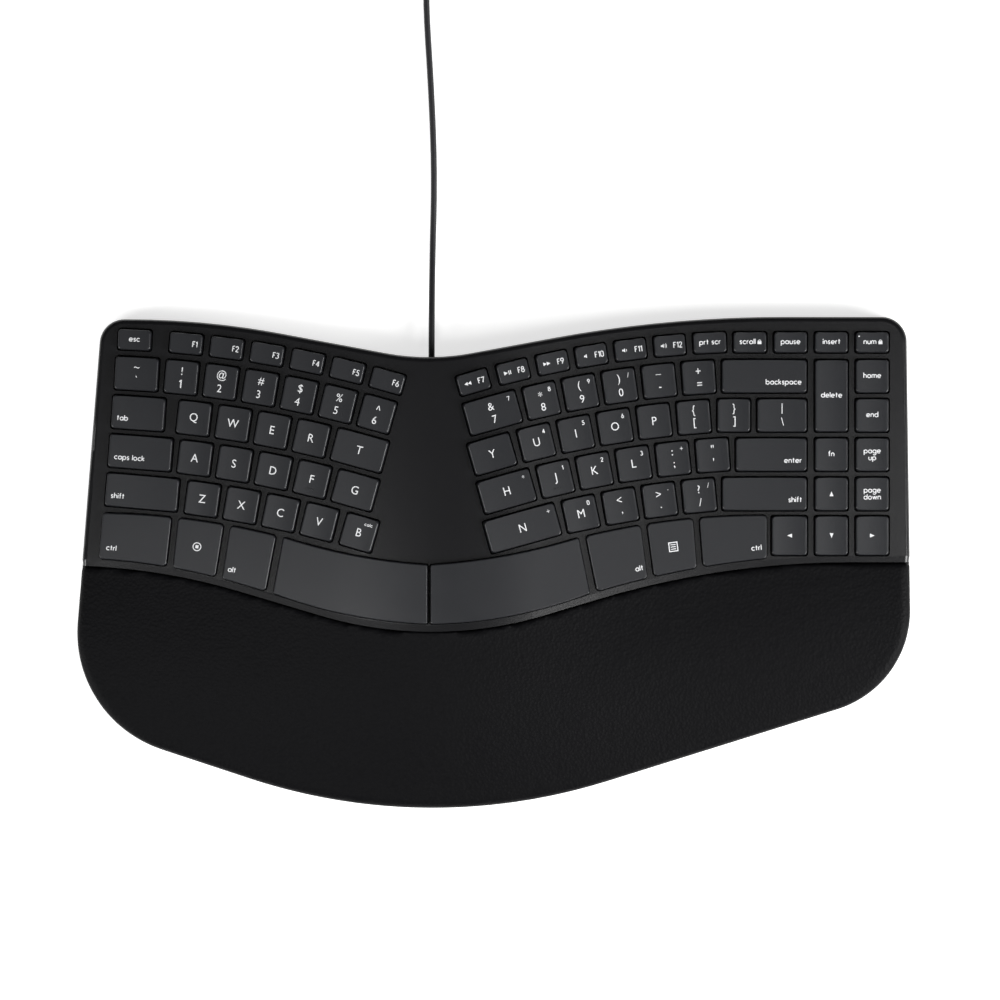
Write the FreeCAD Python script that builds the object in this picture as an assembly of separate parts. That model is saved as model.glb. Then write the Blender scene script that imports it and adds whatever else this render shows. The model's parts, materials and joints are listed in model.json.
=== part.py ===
"""Ergonomic keyboard: one arched case, 89 keys on curved rows, a padded palm rest and a USB cord.

The frame has its origin under the middle of the keyboard, on the surface that it stands on.
+X is to the user's right, +Y points away from the user and +Z is up. Lengths are millimetres.
"""

import FreeCAD, Part
import math
import os

V = FreeCAD.Vector
UP = V(0, 0, 1)

# Plan: places seen from above are multiples of the key pitch
PITCH = 19.1            # from one key to the next along a row
KEY_GAP = 3.6           # between the tops of two keys in a row
ROW_GAP = 3.05          # between the tops of two rows
ROW_STEP = 0.972        # from one row to the next, in pitches
F_ROW_STEP = 0.84       # from the number row to the shallow function row, in pitches
F_KEY_DEPTH = 9.4       # front to back size of a function key's top
PALM_DEPTH = 85.2       # palm rest, front to back on the crest line

# Section seen from the front
END_X = -10.0 * PITCH   # left end of the sheets below the deck
STACK_GAP = 1.64        # between those sheets and the case's floor at END_X
CREST_X = -1.57 * PITCH # where the crest line runs
INNER_SLOPE = 6.5       # degrees, beside the crest
LEFT_SLOPE = 3.5        # degrees, at the left end
RIGHT_SLOPE = 1.5       # degrees, at the right end
PARTING_Z = 6.0         # joint between the bottom case and what stands on it
FOOT_HEIGHT = 1.5       # rubber feet below the bottom case

# Walls and running gaps
COVER_WALL = 2.0
CASE_WALL = 2.0
FLOOR = 2.0
SEAM = 0.3              # between faces of pieces that are fastened together
EDGE_ROUND = 2.4        # outer rounding round the top of the cover

# Keys
KEY_RISE = 3.2          # key tops above the deck
KEY_SKIRT = 2.6         # key skirts below the deck
KEY_TRAVEL = 2.8
KEY_DRAFT = 0.4         # how far the skirt stands out from the top, each side
KEY_WALL = 1.1
KEY_ROOF = 1.3
KEY_CORNER = 1.6
KEY_ROUND = 0.6         # rounding round the top face
DISH = 0.22             # hollow of the key top
KEY_CLEAR = 0.45        # between a skirt and its opening
STEM_DIAMETER = 5.0
STEM_CLEAR = 0.3
BAR_GAP = 1.2           # between the two space bars
BAR_CORNER = 0.7        # their plan corners
BUMP = (3.6, 0.6, 0.35) # homing bar: length, width, height

# Layers under the keys, as depths below the deck
GUIDE_GAP = 0.45        # between a pressed skirt and the guide plate
GUIDE_PLATE = 1.0
COLLAR_WALL = 0.6
COLLAR_RISE = 4.2       # guide collars above their plate
DOME_HEIGHT = 2.7
DOME_SHEET = 0.5
DOME_WIDE = 4.2         # radius at a dome's foot
DOME_NARROW = 2.3       # radius at its top
DOME_SKIN = 0.4
DOME_RIM = 0.6
DOME_TOP_GAP = 0.2      # between a stem and its dome
MEMBRANE = 0.3
BACKING = 0.7
LAYER_GAP = 0.12        # between stacked sheets

# Palm rest
PAD_THICKNESS = 4.5
PAD_CROWN = 2.2         # how far the pad swells above a straight line
PAD_FRONT_Z = 13.5      # top of the pad along the front edge
PAD_INSET = 2.6         # cover of the pad round the edge of its tray
PAD_ROUND = 4.0         # rounding round the pad's outer edge
TRAY_WALL = 2.0
PALM_STATIONS = (-11.5, -9, -6.5, -4, -1.57, 1, 3.5, 6, 8.8, 11.5)  # sections, in pitches from the middle

# Inside the case
RIB = 1.6
RIB_X = (-8.9, -5.4, -3.6, 1.3, 3.2, 5.1, 8.2)                      # in pitches from the middle
BOARD_SIZE = (46.0, 26.0, 1.6)
BOARD_X = CREST_X
BOARD_Y = 2.1 * PITCH
BOARD_Z = 7.5           # underside of the controller board
BOARD_POST = 6.0        # diameter
BOARD_BITE = 3.5
LEAD_DIAMETER = 2.4     # the cord's wires inside the case
LEAD_PLUG = (9.0, 5.0, 5.0)
TAIL_WIDTH = 16.0       # the contact film's tail
TAIL_Y = BOARD_Y - 9.5

# Fasteners and feet
BOSS_DIAMETER = 5.0
BOSS_SEAT = 1.5         # case bosses above the floor
BOSS_EDGE = 0.4         # between a boss and the cover's side
SCREW_DIAMETER = 2.6
SCREW_HEAD = 4.6
SCREW_HEAD_DEPTH = 1.4
CROSS_SLOT = (2.6, 0.6)
SCREW_BITE = 6.0        # thread length inside the cover's bosses
SCREW_CLEAR = 0.1
HEAD_SINK = 1.6         # screw heads let into the bottom case
TRAY_BITE = 2.5         # the same inside the tray's lower bosses
FOOT_SINK = 0.5         # rubber feet let into the bottom case
TILT_WIDTH = 24.0
TILT_LENGTH = 22.0
TILT_THICKNESS = 3.0
TILT_PIN = 1.8
TILT_CLEAR = 0.35
TILT_LIFT = 0.2         # folded tilt foot above the underside
TILT_WALL = 1.6
TILT_PIN_CLEAR = 0.2
TILT_SWAY = 0.4         # room behind the hinge for a foot that opens past upright
TILT_Y = 4.45 * PITCH   # hinge line
TILT_X = (-7.1 * PITCH, 6.6 * PITCH)
FOOT_SIZE = (26.0, 9.0) # rubber feet in plan

# Cord
CORD_DIAMETER = 3.0
BUSH_NECK = 4.4         # the strain relief, where it passes the cover's wall
BUSH_FLANGE = (7.4, 2.0)  # its flange inside the wall: diameter, thickness
COIL_RADIUS = 17.0      # middle of the turns
COIL_TURNS = 3.5        # in each of the four layers
COIL_PITCH = 4.05       # radial step of one turn
COIL_RISE = 3.5         # from one layer to the next
COIL_SWING = 9.0        # how far the last half turn leaves the ring
COIL_TAIL = 11.0        # straight run into the plug
TIE_SKIN = 0.7          # the band round the coil, which lies under its turns too
TIE_WIDTH = 6.0
TIE_CLEAR = 0.8
TIE_UNDER = 0.25        # between the coil and the band below it
PLUG_BODY = (15.4, 30.0, 8.0)
PLUG_SHELL = (12.0, 18.0, 4.5)
PLUG_WALL = 0.3

GUIDE_TOP = KEY_SKIRT + KEY_TRAVEL + GUIDE_GAP
GUIDE_BOTTOM = GUIDE_TOP + GUIDE_PLATE
STEM_END = GUIDE_BOTTOM + 0.5
DOME_BASE = STEM_END + DOME_TOP_GAP + DOME_HEIGHT
MEMBRANE_TOP = DOME_BASE + DOME_SHEET + LAYER_GAP
BACKING_TOP = MEMBRANE_TOP + MEMBRANE + LAYER_GAP
BACKING_BOTTOM = BACKING_TOP + BACKING
CASE_FLOOR_Z = FOOT_HEIGHT + FLOOR
LEFT_BEND_X = -7.33 * PITCH
CREST_BEND = 22.5 * PITCH
LEFT_RISE = (LEFT_BEND_X - END_X) * math.tan(math.radians(LEFT_SLOPE))
INNER_RISE = (CREST_X - LEFT_BEND_X) * math.tan(math.radians(INNER_SLOPE))
CREST_FALL = CREST_BEND * (1 / math.cos(math.radians(INNER_SLOPE)) - 1)
CREST_Z = CASE_FLOOR_Z + STACK_GAP + BACKING_BOTTOM + LEFT_RISE + INNER_RISE - CREST_FALL
POCKET_TOP = FOOT_HEIGHT + TILT_LIFT + TILT_THICKNESS + 0.4
CORD_EXIT = V(-1.54 * PITCH, 5.155 * PITCH, PARTING_Z + 5.0)
CORD_Z = CORD_DIAMETER / 2 + 0.05
COIL_Z = CORD_Z + TIE_SKIN + TIE_UNDER
PLUG_Z = PLUG_BODY[2] / 2 + 0.05
JOIN_CREST_Y = -1.74 * PITCH
FRONT_VERTEX_Y = JOIN_CREST_Y - PALM_DEPTH - 0.73 * PITCH
FAR = 40 * PITCH

# Corners of plan lines: x, y, radius of the bend
OUTLINE = (
    (-9.84 * PITCH, 6.11 * PITCH, 12.0),
    (-7.24 * PITCH, 6.11 * PITCH, 20.9 * PITCH),
    (-1.62 * PITCH, 5.05 * PITCH, 5.8 * PITCH),
    (4.39 * PITCH, 6.17 * PITCH, 31.4 * PITCH),
    (10.40 * PITCH, 6.17 * PITCH, 12.0),
    (10.53 * PITCH, FRONT_VERTEX_Y + 3.80 * PITCH, 2.6 * PITCH),
    (-1.64 * PITCH, FRONT_VERTEX_Y, 14.7 * PITCH),
    (-10.64 * PITCH, FRONT_VERTEX_Y + 2.97 * PITCH, 3.1 * PITCH),
)
JOIN_LINE = (
    (-FAR, -0.08 * PITCH, 0),
    (-8.56 * PITCH, -0.08 * PITCH, 15.7 * PITCH),
    (-1.51 * PITCH, JOIN_CREST_Y - 0.43 * PITCH, 9.9 * PITCH),
    (5.74 * PITCH, 0, 22.0 * PITCH),
    (FAR, 0, 0),
)
BAR_LINE = (
    (-FAR, 1.23 * PITCH, 0),
    (-7.70 * PITCH, 1.23 * PITCH, 19.5 * PITCH),
    (-1.60 * PITCH, -0.30 * PITCH, 7.7 * PITCH),
    (4.49 * PITCH, 1.17 * PITCH, 19.0 * PITCH),
    (FAR, 1.17 * PITCH, 0),
)
LIP = 4.0               # cover left between the front keys and the palm rest
LIP_BEVEL = 3.0         # width of the slope along the cover's front edge
LIP_DROP = 0.7          # its fall towards the palm rest

# The cord's route from its bush in the cover to the coil, chosen by hand: x and y from the exit, z
CORD_STEPS = (
    (0.0, -0.3, CORD_EXIT.z),
    (0.0, 17.5, CORD_EXIT.z),
    (0.3, 47.5, CORD_Z),
    (1.4, 87.5, CORD_Z),
    (-0.2, 129.5, CORD_Z),
    (-3.0, 171.5, CORD_Z),
    (-2.6, 201.5, COIL_Z),
)
CORD_ROUTE = [V(CORD_EXIT.x + x, CORD_EXIT.y + y, z) for x, y, z in CORD_STEPS]
COIL_X = CORD_ROUTE[-1].x - COIL_RADIUS - COIL_PITCH * COIL_TURNS / 2
COIL_Y = CORD_ROUTE[-1].y + CORD_DIAMETER

# Bends of the deck, seen from the front: x, slope in degrees to its right, radius
DECK_BENDS = (
    (LEFT_BEND_X, INNER_SLOPE, 115 * PITCH),
    (CREST_X, -INNER_SLOPE, CREST_BEND),
    (3.93 * PITCH, -RIGHT_SLOPE, 63 * PITCH),
)


def tangent_arc(start, corner, end):
    """The arc that touches start-corner and corner-end, both of one length."""
    back = (start - corner).normalize()
    on = (end - corner).normalize()
    half_turn = (math.pi - back.getAngle(on)) / 2
    radius = start.distanceToPoint(corner) / math.tan(half_turn)
    bisector = (back + on).normalize()
    middle = corner + bisector * (radius / math.cos(half_turn) - radius)
    return Part.Arc(start, middle, end).toShape()


def bent_edges(points, radii, closed=False):
    """Straight runs through points, joined at each bend by an arc of its radius."""
    count = len(points)
    edges, last = [], None
    bends = range(count) if closed else range(1, count - 1)
    first = None if closed else points[0]
    last = first
    for i in bends:
        corner = points[i]
        back = (points[i - 1] - corner).normalize()
        on = (points[(i + 1) % count] - corner).normalize()
        reach = radii[i] * math.tan((math.pi - back.getAngle(on)) / 2)
        start, end = corner + back * reach, corner + on * reach
        if last is None:
            first = start
        else:
            edges.append(Part.LineSegment(last, start).toShape())
        edges.append(tangent_arc(start, corner, end))
        last = end
    finish = first if closed else points[-1]
    edges.append(Part.LineSegment(last, finish).toShape())
    return edges


def plan_wire(corners, closed=False):
    """A wire at z 0 through plan corners."""
    points = [V(x, y, 0) for x, y, _ in corners]
    return Part.Wire(bent_edges(points, [radius for _, _, radius in corners], closed))


def prism(wire, low, high):
    """The upright solid inside a plan wire."""
    face = Part.Face(wire)
    face.translate(V(0, 0, low))
    return face.extrude(V(0, 0, high - low))


def outline_prism(inset, low, high):
    """The case's plan, drawn in by inset all round."""
    wire = plan_wire(OUTLINE, closed=True)
    if inset:
        wire = wire.makeOffset2D(-inset)
    return prism(wire, low, high)


def behind(line, offset, low, high):
    """Everything behind a plan line that is moved square to itself to the rear."""
    wire = offset_line(line, offset)
    ends = [wire.OrderedVertexes[0].Point, wire.OrderedVertexes[-1].Point]
    if ends[0].x > ends[1].x:
        ends.reverse()
    corners = [ends[1], V(FAR, FAR, 0), V(-FAR, FAR, 0), ends[0]]
    edges = [Part.LineSegment(a, b).toShape() for a, b in zip(corners, corners[1:])]
    closed = Part.Wire(Part.__sortEdges__(list(wire.Edges) + edges))
    return prism(closed, low, high)


def offset_line(line, offset):
    """A plan line moved square to itself, to the rear when offset is positive."""
    moved = []
    for i, (x, y, radius) in enumerate(line):
        before = line[max(i - 1, 0)]
        after = line[min(i + 1, len(line) - 1)]
        a = math.atan2(y - before[1], x - before[0]) if i else 0.0
        b = math.atan2(after[1] - y, after[0] - x) if i < len(line) - 1 else 0.0
        middle = (a + b) / 2
        reach = offset / math.cos((b - a) / 2)
        bend = radius - offset if b > a else radius + offset
        moved.append((x - reach * math.sin(middle), y + reach * math.cos(middle), bend if radius else 0))
    return plan_wire(moved)


def deck_corners():
    """The deck's section as corners (x, z), with the crest's rounding reaching CREST_Z."""
    slopes = [LEFT_SLOPE] + [slope for _, slope, _ in DECK_BENDS]
    crest = DECK_BENDS[1]
    half_turn = math.radians(INNER_SLOPE)
    top = CREST_Z + crest[2] * (1 / math.cos(half_turn) - 1)
    corners = {1: (crest[0], top)}
    for i, step in ((0, -1), (2, 1)):
        x, z = DECK_BENDS[i][0], top
        slope = slopes[i + 1] if step < 0 else slopes[i]
        z += (x - crest[0]) * math.tan(math.radians(slope))
        corners[i] = (x, z)
    left = (-FAR, corners[0][1] + (-FAR - corners[0][0]) * math.tan(math.radians(slopes[0])))
    right = (FAR, corners[2][1] + (FAR - corners[2][0]) * math.tan(math.radians(slopes[3])))
    return [left, corners[0], corners[1], corners[2], right]


def deck_wire(depth):
    """The deck's section at y 0, moved square to itself by depth below the deck."""
    corners = deck_corners()
    slopes = [math.radians(LEFT_SLOPE)] + [math.radians(slope) for _, slope, _ in DECK_BENDS]
    points, radii = [], []
    for i, (x, z) in enumerate(corners):
        a = slopes[max(i - 1, 0)]
        b = slopes[min(i, len(slopes) - 1)]
        reach = depth / math.cos((b - a) / 2)
        middle = (a + b) / 2
        points.append(V(x + reach * math.sin(middle), 0, z - reach * math.cos(middle)))
        inner = 0 < i < len(corners) - 1
        bend = DECK_BENDS[i - 1][2] if inner else 0
        radii.append(bend + depth if b > a else bend - depth)
    return Part.Wire(bent_edges(points, radii))


def under_deck(depth):
    """Everything below the deck surface that lies depth under the deck."""
    wire = deck_wire(depth)
    ends = sorted((v.Point for v in (wire.OrderedVertexes[0], wire.OrderedVertexes[-1])), key=lambda p: p.x)
    corners = [ends[0], V(ends[0].x, 0, -FAR), V(ends[1].x, 0, -FAR), ends[1]]
    edges = [Part.LineSegment(a, b).toShape() for a, b in zip(corners, corners[1:])]
    closed = Part.Wire(Part.__sortEdges__(list(wire.Edges) + edges))
    face = Part.Face(closed)
    face.translate(V(0, -FAR, 0))
    return face.extrude(V(0, 2 * FAR, 0))


DECK = deck_wire(0)


def deck_frame(x, y, angle):
    """Where a key sits: on the deck at (x, y), turned by angle radians in plan, square to the deck."""
    upright = Part.makeLine(V(x, 0, -FAR), V(x, 0, FAR))
    point = DECK.distToShape(upright)[1][0][0]
    edge = min(DECK.Edges, key=lambda e: e.distToShape(Part.Vertex(point))[0])
    tangent = edge.tangentAt(edge.Curve.parameter(point))
    if tangent.x < 0:
        tangent = tangent * -1
    normal = V(-tangent.z, 0, tangent.x).normalize()
    along = V(math.cos(angle), math.sin(angle), 0)
    along = (along - normal * along.dot(normal)).normalize()
    turn = FreeCAD.Rotation(along, normal.cross(along), normal, "ZXY")
    return FreeCAD.Placement(V(x, y, point.z), turn)


# Rows from the front row of letters (0) to the function row (4), on arcs that fall towards the crest
LEFT_ARC = 28.4 * PITCH
RIGHT_ARC = 25.8 * PITCH
FLAT_X = 5.7 * PITCH    # right of this the rows run straight
LEFT_CREST = (-11.25, 1.866)    # x and y of the letter row's highest point, in pitches
RIGHT_CREST = (7.59, 1.788)
CREST_SHIFT = 0.22      # towards the middle, from one row to the next
LEFT_START = (-9.80, 0.077)     # outer end of the letter row, and its shift from row to row
COLUMN_A = 8.505 * PITCH # delete, function, up and down keys
COLUMN_B = 9.53 * PITCH # the rightmost keys
BLOCK_EDGE = 7.97 * PITCH

# Keys from the outer end of a row to the crest: name, width in pitches, gap before it in pitches
LEFT_ROWS = {
    4: [("escape", 1, 0), ("f1", 1, 0.30), ("f2", 1, 0.03), ("f3", 1, 0.03), ("f4", 1, 0.03),
        ("f5", 1, 0.03), ("f6", 1, 0.03)],
    3: [("grave", 1.26, 0), ("1", 1, 0), ("2", 1, 0), ("3", 1, 0), ("4", 1, 0), ("5", 1, 0),
        ("6", 1, 0)],
    2: [("tab", 1.5, 0), ("q", 1, 0.155), ("w", 1, 0), ("e", 1, 0), ("r", 1, 0), ("t", 1.49, 0)],
    1: [("caps_lock", 1.76, 0), ("a", 1, 0), ("s", 1, 0), ("d", 1, 0), ("f", 1, 0), ("g", 1.22, 0)],
    0: [("left_shift", 2, 0), ("z", 1, 0.03), ("x", 1, 0), ("c", 1, 0), ("v", 1, 0), ("b", 1, 0.03)],
}
RIGHT_ROWS = {
    4: [("num_lock", 1, 0), ("insert", 1, 0.028), ("pause", 1, 0.025), ("scroll_lock", 1, 0.022),
        ("print_screen", 1, 0.01), ("f12", 0.96, 0.03), ("f11", 0.96, 0.035), ("f10", 0.96, 0.035),
        ("f9", 0.96, 0.03), ("f8", 0.96, 0.05), ("f7", 0.96, 0.07)],
    3: [("backspace", 2.305, 0), ("equals", 1, 0), ("minus", 1, 0), ("0", 1, 0), ("9", 1, 0),
        ("8", 1, 0), ("7", 1.52, 0)],
    2: [("backslash", 1.42, 0), ("bracket_right", 1, 0), ("bracket_left", 1, 0.01), ("p", 1, 0),
        ("o", 1, 0), ("i", 1, 0), ("u", 1, 0.01), ("y", 1.25, 0.02)],
    1: [("enter", 1.955, 0), ("quote", 1, 0), ("semicolon", 1, 0), ("l", 1, 0), ("k", 1, 0),
        ("j", 1, 0), ("h", 1.52, 0)],
    0: [("right_shift", 2.295, 0), ("slash", 1, 0), ("period", 1, 0), ("comma", 1, 0),
        ("m", 1, 0.01), ("n", 2, 0.01)],
}
# Front row, from left to right: name, x of its left end on the rear line in pitches, slant in degrees
BAR_KEYS = (
    ("left_control", -9.87, 5.1), ("menu_left", -7.97, 6.4), ("left_alt", -6.66, 9.2),
    ("space_left", -5.34, 10.9), ("space_right", -1.60, 0.0), ("right_alt", 2.24, -11.6),
    ("menu_right", 3.78, -7.7), ("right_control", 5.10, -4.5), (None, 6.96, 0.0),
)
ARROW_DEPTH = 18.4
ARROW_Y = 0.67 * PITCH
ARROW_LEFT_X = 7.45 * PITCH
ARROW_WIDER = 1.2       # the left arrow key against the others

# Keys that share a node and a joint; every other key has its own
GROUPS = {
    "keys_function_left": ["f1", "f2", "f3", "f4", "f5", "f6"],
    "keys_function_right": ["f7", "f8", "f9", "f10", "f11", "f12"],
    "keys_system": ["print_screen", "scroll_lock", "pause", "insert", "num_lock"],
    "keys_number_left": ["grave", "1", "2", "3", "4", "5", "6"],
    "keys_number_right": ["7", "8", "9", "0", "minus", "equals"],
    "keys_punctuation": ["bracket_left", "bracket_right", "backslash", "semicolon", "quote", "comma",
                         "period", "slash"],
    "keys_navigation": ["delete", "home", "end", "page_up", "page_down", "function"],
    "keys_arrow": ["arrow_up", "arrow_left", "arrow_down", "arrow_right"],
    "keys_side_left": ["tab", "caps_lock", "left_shift"],
    "keys_side_right": ["backspace", "enter", "right_shift"],
    "keys_modifier_left": ["left_control", "menu_left", "left_alt"],
    "keys_modifier_right": ["right_alt", "menu_right", "right_control"],
}


def row_height(row, crest_y):
    """y of a row's crest, in millimetres."""
    steps = row * ROW_STEP if row < 4 else 3 * ROW_STEP + F_ROW_STEP
    return (crest_y + steps) * PITCH


def left_place(row, run):
    """x, y and turn of a point run millimetres along a left row from its outer end."""
    crest_x = (LEFT_CREST[0] + CREST_SHIFT * row) * PITCH
    start_x = (LEFT_START[0] + LEFT_START[1] * row) * PITCH
    turn = (start_x - crest_x + run) / LEFT_ARC
    drop = LEFT_ARC * (1 - math.cos(turn))
    return crest_x + LEFT_ARC * math.sin(turn), row_height(row, LEFT_CREST[1]) - drop, -turn


def right_place(row, run):
    """The same on a right row, which runs straight as far as FLAT_X."""
    crest_x = (RIGHT_CREST[0] - CREST_SHIFT * row) * PITCH
    start_x = COLUMN_B + PITCH / 2 if row == 4 else BLOCK_EDGE
    reach = crest_x - start_x + run
    flat = crest_x - FLAT_X
    turn = max(reach, flat) / RIGHT_ARC
    y = row_height(row, RIGHT_CREST[1]) - RIGHT_ARC * (1 - math.cos(turn))
    if reach <= flat:
        return crest_x - reach, y, 0.0
    return crest_x - RIGHT_ARC * math.sin(turn), y, turn


def row_keys():
    """Frame and top size of every key on the curved rows and in the right columns."""
    standard = ROW_STEP * PITCH - ROW_GAP
    found = {}
    for rows, place in ((LEFT_ROWS, left_place), (RIGHT_ROWS, right_place)):
        for row, keys in rows.items():
            run = 0.0
            for name, width, gap in keys:
                run += (gap + width / 2) * PITCH
                size = (width * PITCH - KEY_GAP, F_KEY_DEPTH if row == 4 else standard)
                found[name] = (deck_frame(*place(row, run)), size)
                run += width * PITCH / 2
    straight = [right_place(row, 0)[1] for row in range(4)]
    column = PITCH - KEY_GAP
    for name, row in (("home", 3), ("end", 2), ("page_up", 1), ("page_down", 0)):
        found[name] = (deck_frame(COLUMN_B, straight[row], 0), (column, standard))
    for name, row in (("function", 1), ("arrow_up", 0)):
        found[name] = (deck_frame(COLUMN_A, straight[row], 0), (column, standard))
    tall = standard + ROW_STEP * PITCH
    found["delete"] = (deck_frame(COLUMN_A, (straight[2] + straight[3]) / 2, 0), (column, tall))
    found["arrow_left"] = (deck_frame(ARROW_LEFT_X, ARROW_Y, 0), (column + ARROW_WIDER, ARROW_DEPTH))
    for name, x in (("arrow_down", COLUMN_A), ("arrow_right", COLUMN_B)):
        found[name] = (deck_frame(x, ARROW_Y, 0), (column, ARROW_DEPTH))
    return found


def bar_keys():
    """Frame and plan corners (rear left, rear right, front right, front left) of the front row."""
    rear, front = offset_line(BAR_LINE, 0), offset_line(JOIN_LINE, LIP)
    found = {}
    for (name, x, slant), (after, next_x, next_slant) in zip(BAR_KEYS, BAR_KEYS[1:]):
        left_gap = BAR_GAP if name == "space_right" else KEY_GAP
        right_gap = BAR_GAP if after == "space_right" else KEY_GAP
        ends = ((x * PITCH + left_gap / 2, slant), (next_x * PITCH - right_gap / 2, next_slant))
        corners = []
        for end_x, lean in ends:
            middle = V(end_x, BAR_LINE[0][1], 0)
            way = V(math.sin(math.radians(lean)), math.cos(math.radians(lean)), 0)
            # the slanted end starts where the rear line passes end_x
            upright = Part.makeLine(middle - V(0, FAR, 0), middle + V(0, FAR, 0))
            crossing = rear.distToShape(upright)[1][0][0]
            cut = Part.makeLine(crossing - way * FAR, crossing + way * FAR)
            corners.append((crossing, front.distToShape(cut)[1][0][0]))
        (rear_left, front_left), (rear_right, front_right) = corners
        across = (rear_right - rear_left) + (front_right - front_left)
        centre = (rear_left + rear_right + front_left + front_right) * 0.25
        frame = deck_frame(centre.x, centre.y, math.atan2(across.y, across.x))
        found[name] = (frame, [rear_left, rear_right, front_right, front_left])
    return found


def rounded_box_wire(width, depth, radius, z):
    """A rounded rectangle about the z axis."""
    x, y = width / 2, depth / 2
    corners = [V(-x, -y, z), V(x, -y, z), V(x, y, z), V(-x, y, z)]
    return Part.Wire(bent_edges(corners, [radius] * 4, closed=True))


def rounded_box(width, depth, radius, low, high):
    return Part.Face(rounded_box_wire(width, depth, radius, low)).extrude(V(0, 0, high - low))


def tapered(width, depth, radius, low, high):
    """A rounded block that is larger at its foot by KEY_DRAFT a side over a key's whole height."""
    slope = KEY_DRAFT / (KEY_RISE + KEY_SKIRT)
    wires = []
    for z in (low, high):
        grow = 2 * slope * (KEY_RISE - z)
        wires.append(rounded_box_wire(width + grow, depth + grow, radius, z))
    return Part.makeLoft(wires, True, True)


def stem(roof):
    """The plunger under a key, up to the underside of its top."""
    height = roof + STEM_END
    return Part.makeCylinder(STEM_DIAMETER / 2, height, V(0, 0, -STEM_END))


def square_key(width, depth):
    """A hollow keycap with its plunger, in its own frame, with z 0 at the deck."""
    cap = tapered(width, depth, KEY_CORNER, -KEY_SKIRT, KEY_RISE)
    rim = [e for e in cap.Edges if min(v.Z for v in e.Vertexes) > KEY_RISE - 1e-3]
    cap = cap.makeFillet(KEY_ROUND, rim)
    half = width / 2 - KEY_ROUND - 0.3
    scoop = (half**2 + DISH**2) / (2 * DISH)
    roller = Part.makeCylinder(scoop, 4 * depth, V(0, -2 * depth, KEY_RISE + scoop - DISH), V(0, 1, 0))
    cap = cap.cut(roller)
    roof = KEY_RISE - KEY_ROOF
    inner = 2 * KEY_WALL
    hollow = tapered(width - inner, depth - inner, KEY_CORNER / 2, -KEY_SKIRT - 1, roof)
    return cap.cut(hollow).fuse(stem(roof + 0.2)).removeSplitter()


def homing_bar(depth):
    """The raised bar that a finger finds, near the front of a key's top."""
    length, width, height = BUMP
    y = -depth * 0.32
    bar = rounded_box(length, width, width / 2.2, 0, height + DISH)
    bar.translate(V(0, y, KEY_RISE - DISH - 0.1))
    return bar


def bar_wire(corners, grow, radius):
    """A front row key's plan at z 0, grown by grow all round. Long sides follow the row's bend."""
    rear_left, rear_right, front_right, front_left = corners
    edges = [
        Part.Arc(rear_left, on_line(BAR_LINE, 0, rear_left, rear_right), rear_right).toShape(),
        Part.LineSegment(rear_right, front_right).toShape(),
        Part.Arc(front_right, on_line(JOIN_LINE, LIP, front_left, front_right), front_left).toShape(),
        Part.LineSegment(front_left, rear_left).toShape(),
    ]
    sharp = Part.Wire(edges)
    drawn = sharp.makeOffset2D(-radius)
    return drawn.makeOffset2D(radius + grow)


def on_line(line, offset, a, b):
    """The point of an offset plan line straight before or behind the middle of a and b."""
    x = (a.x + b.x) / 2
    upright = Part.makeLine(V(x, -FAR, 0), V(x, FAR, 0))
    return offset_line(line, offset).distToShape(upright)[1][0][0]


def bar_block(frame, corners, grow, radius, low, high):
    """A front row key's plan run square to the deck at its middle, between two local heights."""
    plan = bar_wire(corners, grow, radius)
    face = Part.Face(plan)
    normal = frame.Rotation.multVec(UP)
    face.translate(V(0, 0, frame.Base.z) + normal * low)
    return face.extrude(normal * (high - low))


def bar_key(frame, corners, radius, depths):
    """A front row key whose top and skirt follow the arched deck."""
    over, under = depths["key_top"], depths["skirt"]
    block = bar_block(frame, corners, KEY_DRAFT / 2, radius, -4 * KEY_SKIRT, 4 * KEY_RISE)
    cap = block.common(over).cut(under)
    top = [e for e in cap.Edges if is_on_top(e, frame)]
    cap = cap.makeFillet(KEY_ROUND, top)
    hollow = bar_block(frame, corners, KEY_DRAFT / 2 - KEY_WALL, radius, -5 * KEY_SKIRT, 4 * KEY_RISE)
    cap = cap.cut(hollow.common(depths["key_roof"]))
    plunger = stem(KEY_RISE - KEY_ROOF + 0.2)
    plunger.Placement = frame
    return cap.fuse(plunger).removeSplitter()


def is_on_top(edge, frame):
    """Whether an edge runs round a front row key's top."""
    middle = edge.valueAt((edge.FirstParameter + edge.LastParameter) / 2)
    points = [v.Point for v in edge.Vertexes] + [middle]
    upright = [deck_frame(p.x, 0, 0) for p in points]
    heights = [(p - V(p.x, p.y, f.Base.z)).dot(f.Rotation.multVec(UP)) for p, f in zip(points, upright)]
    return min(heights) > KEY_RISE - 0.1


def make_keys(depths):
    """Every key's solid, its opening's cutter and its frame, by name."""
    solids, openings, frames, cache = {}, {}, {}, {}
    for name, (frame, (width, depth)) in row_keys().items():
        size = (round(width, 3), round(depth, 3))
        if size not in cache:
            cache[size] = square_key(width, depth)
        key = cache[size].copy()
        if name in ("f", "j"):
            key = key.fuse(homing_bar(depth))
        key.Placement = frame
        grow = 2 * (KEY_DRAFT + KEY_CLEAR)
        opening = rounded_box(width + grow, depth + grow, KEY_CORNER, -3 * COVER_WALL, 3 * KEY_RISE)
        opening.Placement = frame
        solids[name], openings[name], frames[name] = key, opening, frame
    for name, (frame, corners) in bar_keys().items():
        radius = BAR_CORNER if name.startswith("space") else KEY_CORNER
        reach = KEY_DRAFT / 2 + KEY_CLEAR
        solids[name] = bar_key(frame, corners, radius, depths)
        openings[name] = bar_block(frame, corners, reach, radius, -4 * COVER_WALL, 3 * KEY_RISE)
        frames[name] = frame
    return solids, openings, frames


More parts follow.
